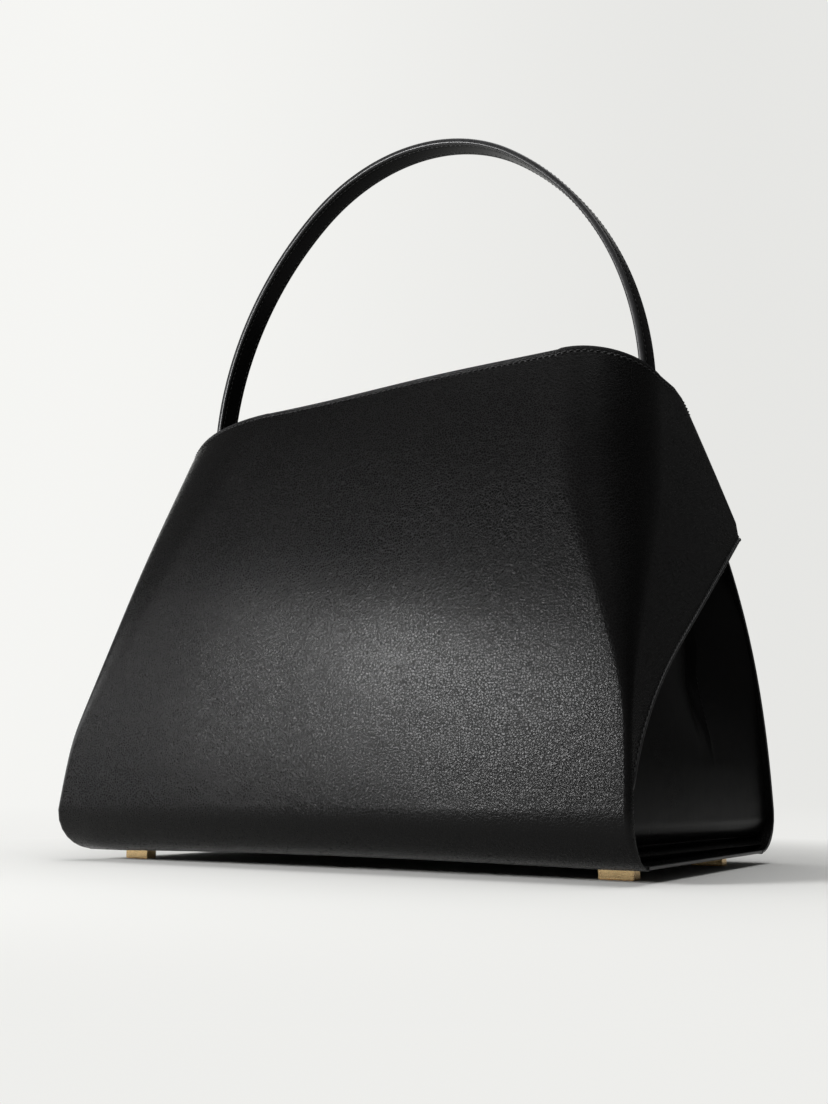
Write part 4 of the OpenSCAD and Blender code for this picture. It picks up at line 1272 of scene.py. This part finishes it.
def strap_path(p):
    """Centre line of the strap in X and Z and its outward normal: from a leg's end straight up to the pivot,
    along a wide arc that meets a tighter top arc where both slope 4 up for 3 along, and down the other
    side. Gives the heights over the pivot too."""
    angle = math.atan(4 / 3)
    up = p.tightening / math.tan(angle / 2)
    top_r = p.half_span - p.tightening
    side_r = top_r + up / math.sin(angle)
    foot = p.width / 2 * (1 - np.cos(np.linspace(0, np.pi / 2, 10)[1:-1]))
    leg = np.concatenate([[-p.width / 2 * 0.999], -p.width / 2 + foot, np.linspace(-0.001, p.leg, 14)])
    a = np.linspace(0, angle, 61)[1:]
    b = np.linspace(angle, np.pi / 2, 61)[1:]
    x = np.concatenate([np.full(leg.size, p.half_span), p.half_span - side_r + side_r * np.cos(a),
                        top_r * np.cos(b)])
    z = np.concatenate([leg, p.leg + side_r * np.sin(a), p.leg + up + top_r * np.sin(b)])
    nx = np.concatenate([np.ones(leg.size), np.cos(a), np.cos(b)])
    nz = np.concatenate([np.zeros(leg.size), np.sin(a), np.sin(b)])
    x, nx = (np.concatenate([half, -half[::-1][1:]]) for half in (x, nx))
    z, nz = (np.concatenate([half, half[::-1][1:]]) for half in (z, nz))
    return x + p.centre_x, z + p.pivot_z, nx, nz, z


class TOTE_OT_strap(bpy.types.Operator):
    """Make the strap handle with its painted edges and four rows of stitches, its anchors and screws"""
    bl_idname = "tote.strap"
    bl_label = "Strap handle"

    crown = 0.00018

    def execute(self, context):
        p, thread = context.scene.tote_strap, context.scene.tote_thread
        self.strap(p, thread.margin)
        self.stitches(p, thread)
        self.anchors(context.scene.tote_body)
        return {"FINISHED"}

    def section(self, p, margin):
        """Outline of the strap's section as width and height: both faces have a slight crown between two
        grooves, which are bell curves under the stitches, and the edges are rounded."""
        r, base = p.edge_round, p.thickness / 2 - self.crown
        flat = np.linspace(-1, 1, 15)
        t = np.linspace(0, np.pi / 2, 6)
        start = p.width / 2 - r
        w = flat * start
        groove = bell(np.abs(w) - (p.width / 2 - margin), 0.0005)
        h = base + self.crown * (1 - flat ** 2) - self.crown * groove
        out, back = start + r * np.sin(t[1:]), start + r * np.sin(t[::-1][1:])
        down, up = base - r * (1 - np.cos(t[1:])), r * (1 - np.cos(t[::-1][1:])) - base
        across = np.concatenate([w, out, back, w[::-1][1:], -out, -back[:-1]])
        height = np.concatenate([h, down, up, -h[::-1][1:], -down, -up[:-1]])
        return across, height

    def strap(self, p, margin):
        """The section swept along the path. Below the pivots its width follows a half circle, and both
        ends are closed."""
        x, z, nx, nz, drop = strap_path(p)
        across, height = self.section(p, margin)
        half_w = np.where(drop < 0, np.sqrt(np.maximum((p.width / 2) ** 2 - drop ** 2, 1e-9)), p.width / 2)
        scale = (half_w / (p.width / 2))[:, None]
        off = height * np.minimum(1.0, 0.55 + 0.45 * scale)
        grid = np.stack([x[:, None] + nx[:, None] * off, across * scale, z[:, None] + nz[:, None] * off], -1)
        rings, n = grid.shape[:2]
        points = np.concatenate([grid.reshape(-1, 3), [grid[0].mean(0), grid[-1].mean(0)]])
        faces = grid_faces(rings, n, ring_v=True)
        is_edge = np.abs(across) > p.width / 2 - p.edge_round - 1e-7
        painted = np.broadcast_to(is_edge & np.roll(is_edge, -1), faces.shape[:2]).ravel()
        centre, last = rings * n, (rings - 1) * n
        even = np.arange(0, n - 1, 2)
        caps = np.concatenate([
            spread(centre, even, even + 1, (even + 2) % n)[:, ::-1],
            spread(centre + 1, last + even, last + even + 1, last + (even + 2) % n)])
        run = lengths(spread(x, 0, z))[:, None]
        uv = np.concatenate([spread(run, p.width / 2 - np.abs(across)).reshape(-1, 2), np.zeros((2, 2))])
        finish_piece("strap_leather", points, np.concatenate([faces.reshape(-1, 4), caps]), "handle",
                     [finish("strap_leather"), finish("edge_paint")],
                     ["handle_outer", "handle_core", "handle_inner"],
                     np.concatenate([painted, np.ones(len(caps))]), uv)

    def stitches(self, p, thread):
        """Two rows on each face of the strap, above the pivots."""
        x, z, nx, nz, drop = strap_path(p)
        body = drop >= 0.012
        rows = []
        for sign in (-1, 1):
            off = sign * (p.thickness / 2 - 0.0003)
            normal = sign * spread(nx, 0, nz)
            for edge in (-1, 1):
                path = spread(x + nx * off, edge * (p.width / 2 - thread.margin), z + nz * off)
                rows.append((path[body], normal[body]))
        stitched("strap_stitches", rows, thread, "handle")

    def anchors(self, s):
        """Leather over the two anchors, cut back to the facing, and the finish of the screws."""
        shell = Shell(s)
        for name, sign in both_ends:
            low, high = box(f"handle_anchor_{name}")
            points, faces = pillow_block(low, high, min(0.0012, (high - low)[0] * 0.3), 0.0008)
            limit = shell.half_width(points[:, 2], sign) - shell.facing_d - s.facing_t - 0.0003
            points[:, 0] = sign * np.minimum(np.abs(points[:, 0]), limit)
            merge(finish_piece(f"anchor_leather_{name}", points, faces, "bag",
                               [finish("facing_leather")], [f"handle_anchor_{name}"]))
            dress(f"pivot_screw_{name}", "satin_brass")


class TOTE_OT_feet(bpy.types.Operator):
    """Finish the four bar feet, the plates and the board that hold them"""
    bl_idname = "tote.feet"
    bl_label = "Feet"

    def execute(self, context):
        for name in ("foot_front_left", "foot_front_right", "foot_back_left", "foot_back_right"):
            dress(name, "satin_brass")
        dress("foot_plates", "plate_steel")
        dress("base_board", "fibre_board")
        return {"FINISHED"}


view_turn = math.radians(33.15)


class TOTE_OT_stage(bpy.types.Operator):
    """Make the floor, the backdrop, the lamps and the camera"""
    bl_idname = "tote.stage"
    bl_label = "Stage"

    def execute(self, context):
        scene = context.scene
        scene.view_settings.view_transform = "Standard"
        camera_data = bpy.data.cameras.new("camera")
        camera_data.sensor_fit, camera_data.sensor_width, camera_data.lens = "AUTO", 36.0, 37.91
        camera = bpy.data.objects.new("camera", camera_data)
        camera.location = (0.3672, -0.5590, 0.0401)
        camera.rotation_euler = (math.radians(101.48), 0.0, view_turn)
        scene.collection.objects.link(camera)
        scene.camera = camera

        self.cove(scene)
        world = bpy.data.worlds.new("soft_room")
        scene.world = world
        world.use_nodes = True
        background = world.node_tree.nodes["Background"]
        background.inputs["Color"].default_value = (0.86, 0.86, 0.85, 1.0)
        background.inputs["Strength"].default_value = 0.08
        self.lamp("key", (-0.73, -1.37, 0.507), (0.0, 0.0, 0.12), (0.44, 0.32), 30.0)
        self.lamp("left", (-1.50, -0.35, 0.30), (0.0, 0.0, 0.05), (0.8, 0.45), 3.5)
        self.lamp("top", (0.1, 0.0, 2.1), (0.0, 0.0, 0.1), (2.2, 2.2), 31.0)
        return {"FINISHED"}

    def cove(self, scene):
        """Floor that widens away from the camera and bends up into a backdrop along a quarter circle."""
        u = np.linspace(-1, 1, 41)[:, None]
        front, back, radius, height = -3.0, 2.0, 1.2, 4.5
        floor = np.linspace(front, back, 40)
        bend = np.linspace(0, np.pi / 2, 16)[1:]
        y = np.concatenate([floor, back + radius * np.sin(bend), np.full(6, back + radius)])
        z = np.concatenate([0 * floor, radius * (1 - np.cos(bend)), radius + np.linspace(0, height, 7)[1:]])
        reach = 0.66 + 0.32 * np.maximum(y, 0.0)
        cos, sin = math.cos(view_turn), math.sin(view_turn)
        points = spread(u * reach, y, z).reshape(-1, 3) @ np.array([[cos, sin, 0], [-sin, cos, 0], [0, 0, 1]])
        faces = grid_faces(u.size, y.size).reshape(-1, 4)
        mesh = bpy.data.meshes.new("cove")
        mesh.from_pydata(points.tolist(), [], faces.tolist())
        mesh.polygons.foreach_set("use_smooth", np.ones(len(faces), bool))
        mesh.materials.append(self.backdrop(scene.tote_colours))
        cove = bpy.data.objects.new("cove", mesh)
        scene.collection.objects.link(cove)

    def lamp(self, name, place, target, size, power):
        data = bpy.data.lights.new(name, "AREA")
        data.shape, data.size, data.size_y, data.energy = "RECTANGLE", size[0], size[1], power
        lamp = bpy.data.objects.new(name, data)
        lamp.location = place
        away = np.array(place) - np.array(target)
        away = away / np.linalg.norm(away)
        lamp.rotation_euler = (math.acos(away[2]), 0.0, math.atan2(away[1], away[0]) + math.pi / 2)
        bpy.context.scene.collection.objects.link(lamp)

    def backdrop(self, colours):
        """Plain pale paper: lit by the lamps near the object, and a glowing tone away from it. The glowing
        tone is painted lighter on the left and darker on the right as painted falloff of light, and the lit
        paper's colour is painted darker on the left and lighter on the right to even out the lamps' falloff.
        """
        f = Finish("pale_paper")
        rays = f.node("LightPath", output=None).outputs
        camera_ray, glossy_ray, clear_ray = (
            Value(f.tree, rays[name]) for name in ("Is Camera Ray", "Is Glossy Ray", "Is Transmission Ray"))
        seen = camera_ray.most(glossy_ray).most(clear_ray)
        x, y = f.split(f.place())[:2]
        away = f.step((x * x + y * y) ** 0.5, 0.22, 0.46)
        across = x * 0.837 + y * 0.547
        # Painted light: the glowing tone falls from lighter on the left to darker on the right.
        tone = f.blend(f.step(across, -1.3, 1.3), tinted(colours.floor, 1.065), tinted(colours.floor, 0.925))
        # Painted light and shade: the lit paper is darker on the left and lighter on the right, to even out
        # the lamps' falloff.
        lit = f.blend(f.step(across, -0.40, 0.40), tinted(colours.floor, 0.92), tinted(colours.floor, 1.06))
        paper = f.node("BsdfDiffuse", Color=lit)
        glow = f.node("Emission", Color=tone, Strength=1.0)
        blend = f.node("MixShader", n0=seen * away, n1=paper, n2=glow)
        f.node("OutputMaterial", output=None, Surface=blend)
        return f.material


class TOTE_PT_panel(bpy.types.Panel):
    """Lists the sizes, the colours and the steps"""
    bl_idname = "TOTE_PT_panel"
    bl_label = "Tote Bag"
    bl_space_type = "VIEW_3D"
    bl_region_type = "UI"
    bl_category = "Tote Bag"

    def draw(self, context):
        scene = context.scene
        for heading, group in (("Body", scene.tote_body), ("Strap", scene.tote_strap),
                               ("Stitching", scene.tote_thread), ("Colours", scene.tote_colours)):
            part = self.layout.box()
            part.label(text=heading)
            for key in group.__annotations__:
                part.prop(group, key)
        for step in steps:
            self.layout.operator(step.bl_idname)


groups = (("tote_body", TOTE_body_sizes), ("tote_strap", TOTE_strap_sizes),
          ("tote_thread", TOTE_thread_sizes), ("tote_colours", TOTE_colours))
steps = (TOTE_OT_stage, TOTE_OT_front, TOTE_OT_back, TOTE_OT_gussets, TOTE_OT_inside, TOTE_OT_zip,
         TOTE_OT_strap, TOTE_OT_feet)


def register():
    for name, group in groups:
        bpy.utils.register_class(group)
        setattr(bpy.types.Scene, name, bpy.props.PointerProperty(type=group))
    for step in steps:
        bpy.utils.register_class(step)
    bpy.utils.register_class(TOTE_PT_panel)


def unregister():
    bpy.utils.unregister_class(TOTE_PT_panel)
    for step in reversed(steps):
        bpy.utils.unregister_class(step)
    for name, group in reversed(groups):
        delattr(bpy.types.Scene, name)
        bpy.utils.unregister_class(group)


def main():
    register()
    bpy.ops.tote.stage()
    bpy.ops.tote.front()
    bpy.ops.tote.back()
    bpy.ops.tote.gussets()
    bpy.ops.tote.inside()
    bpy.ops.tote.zip()
    bpy.ops.tote.strap()
    bpy.ops.tote.feet()
    bpy.context.view_layer.update()


if __name__ == "__main__":
    main()
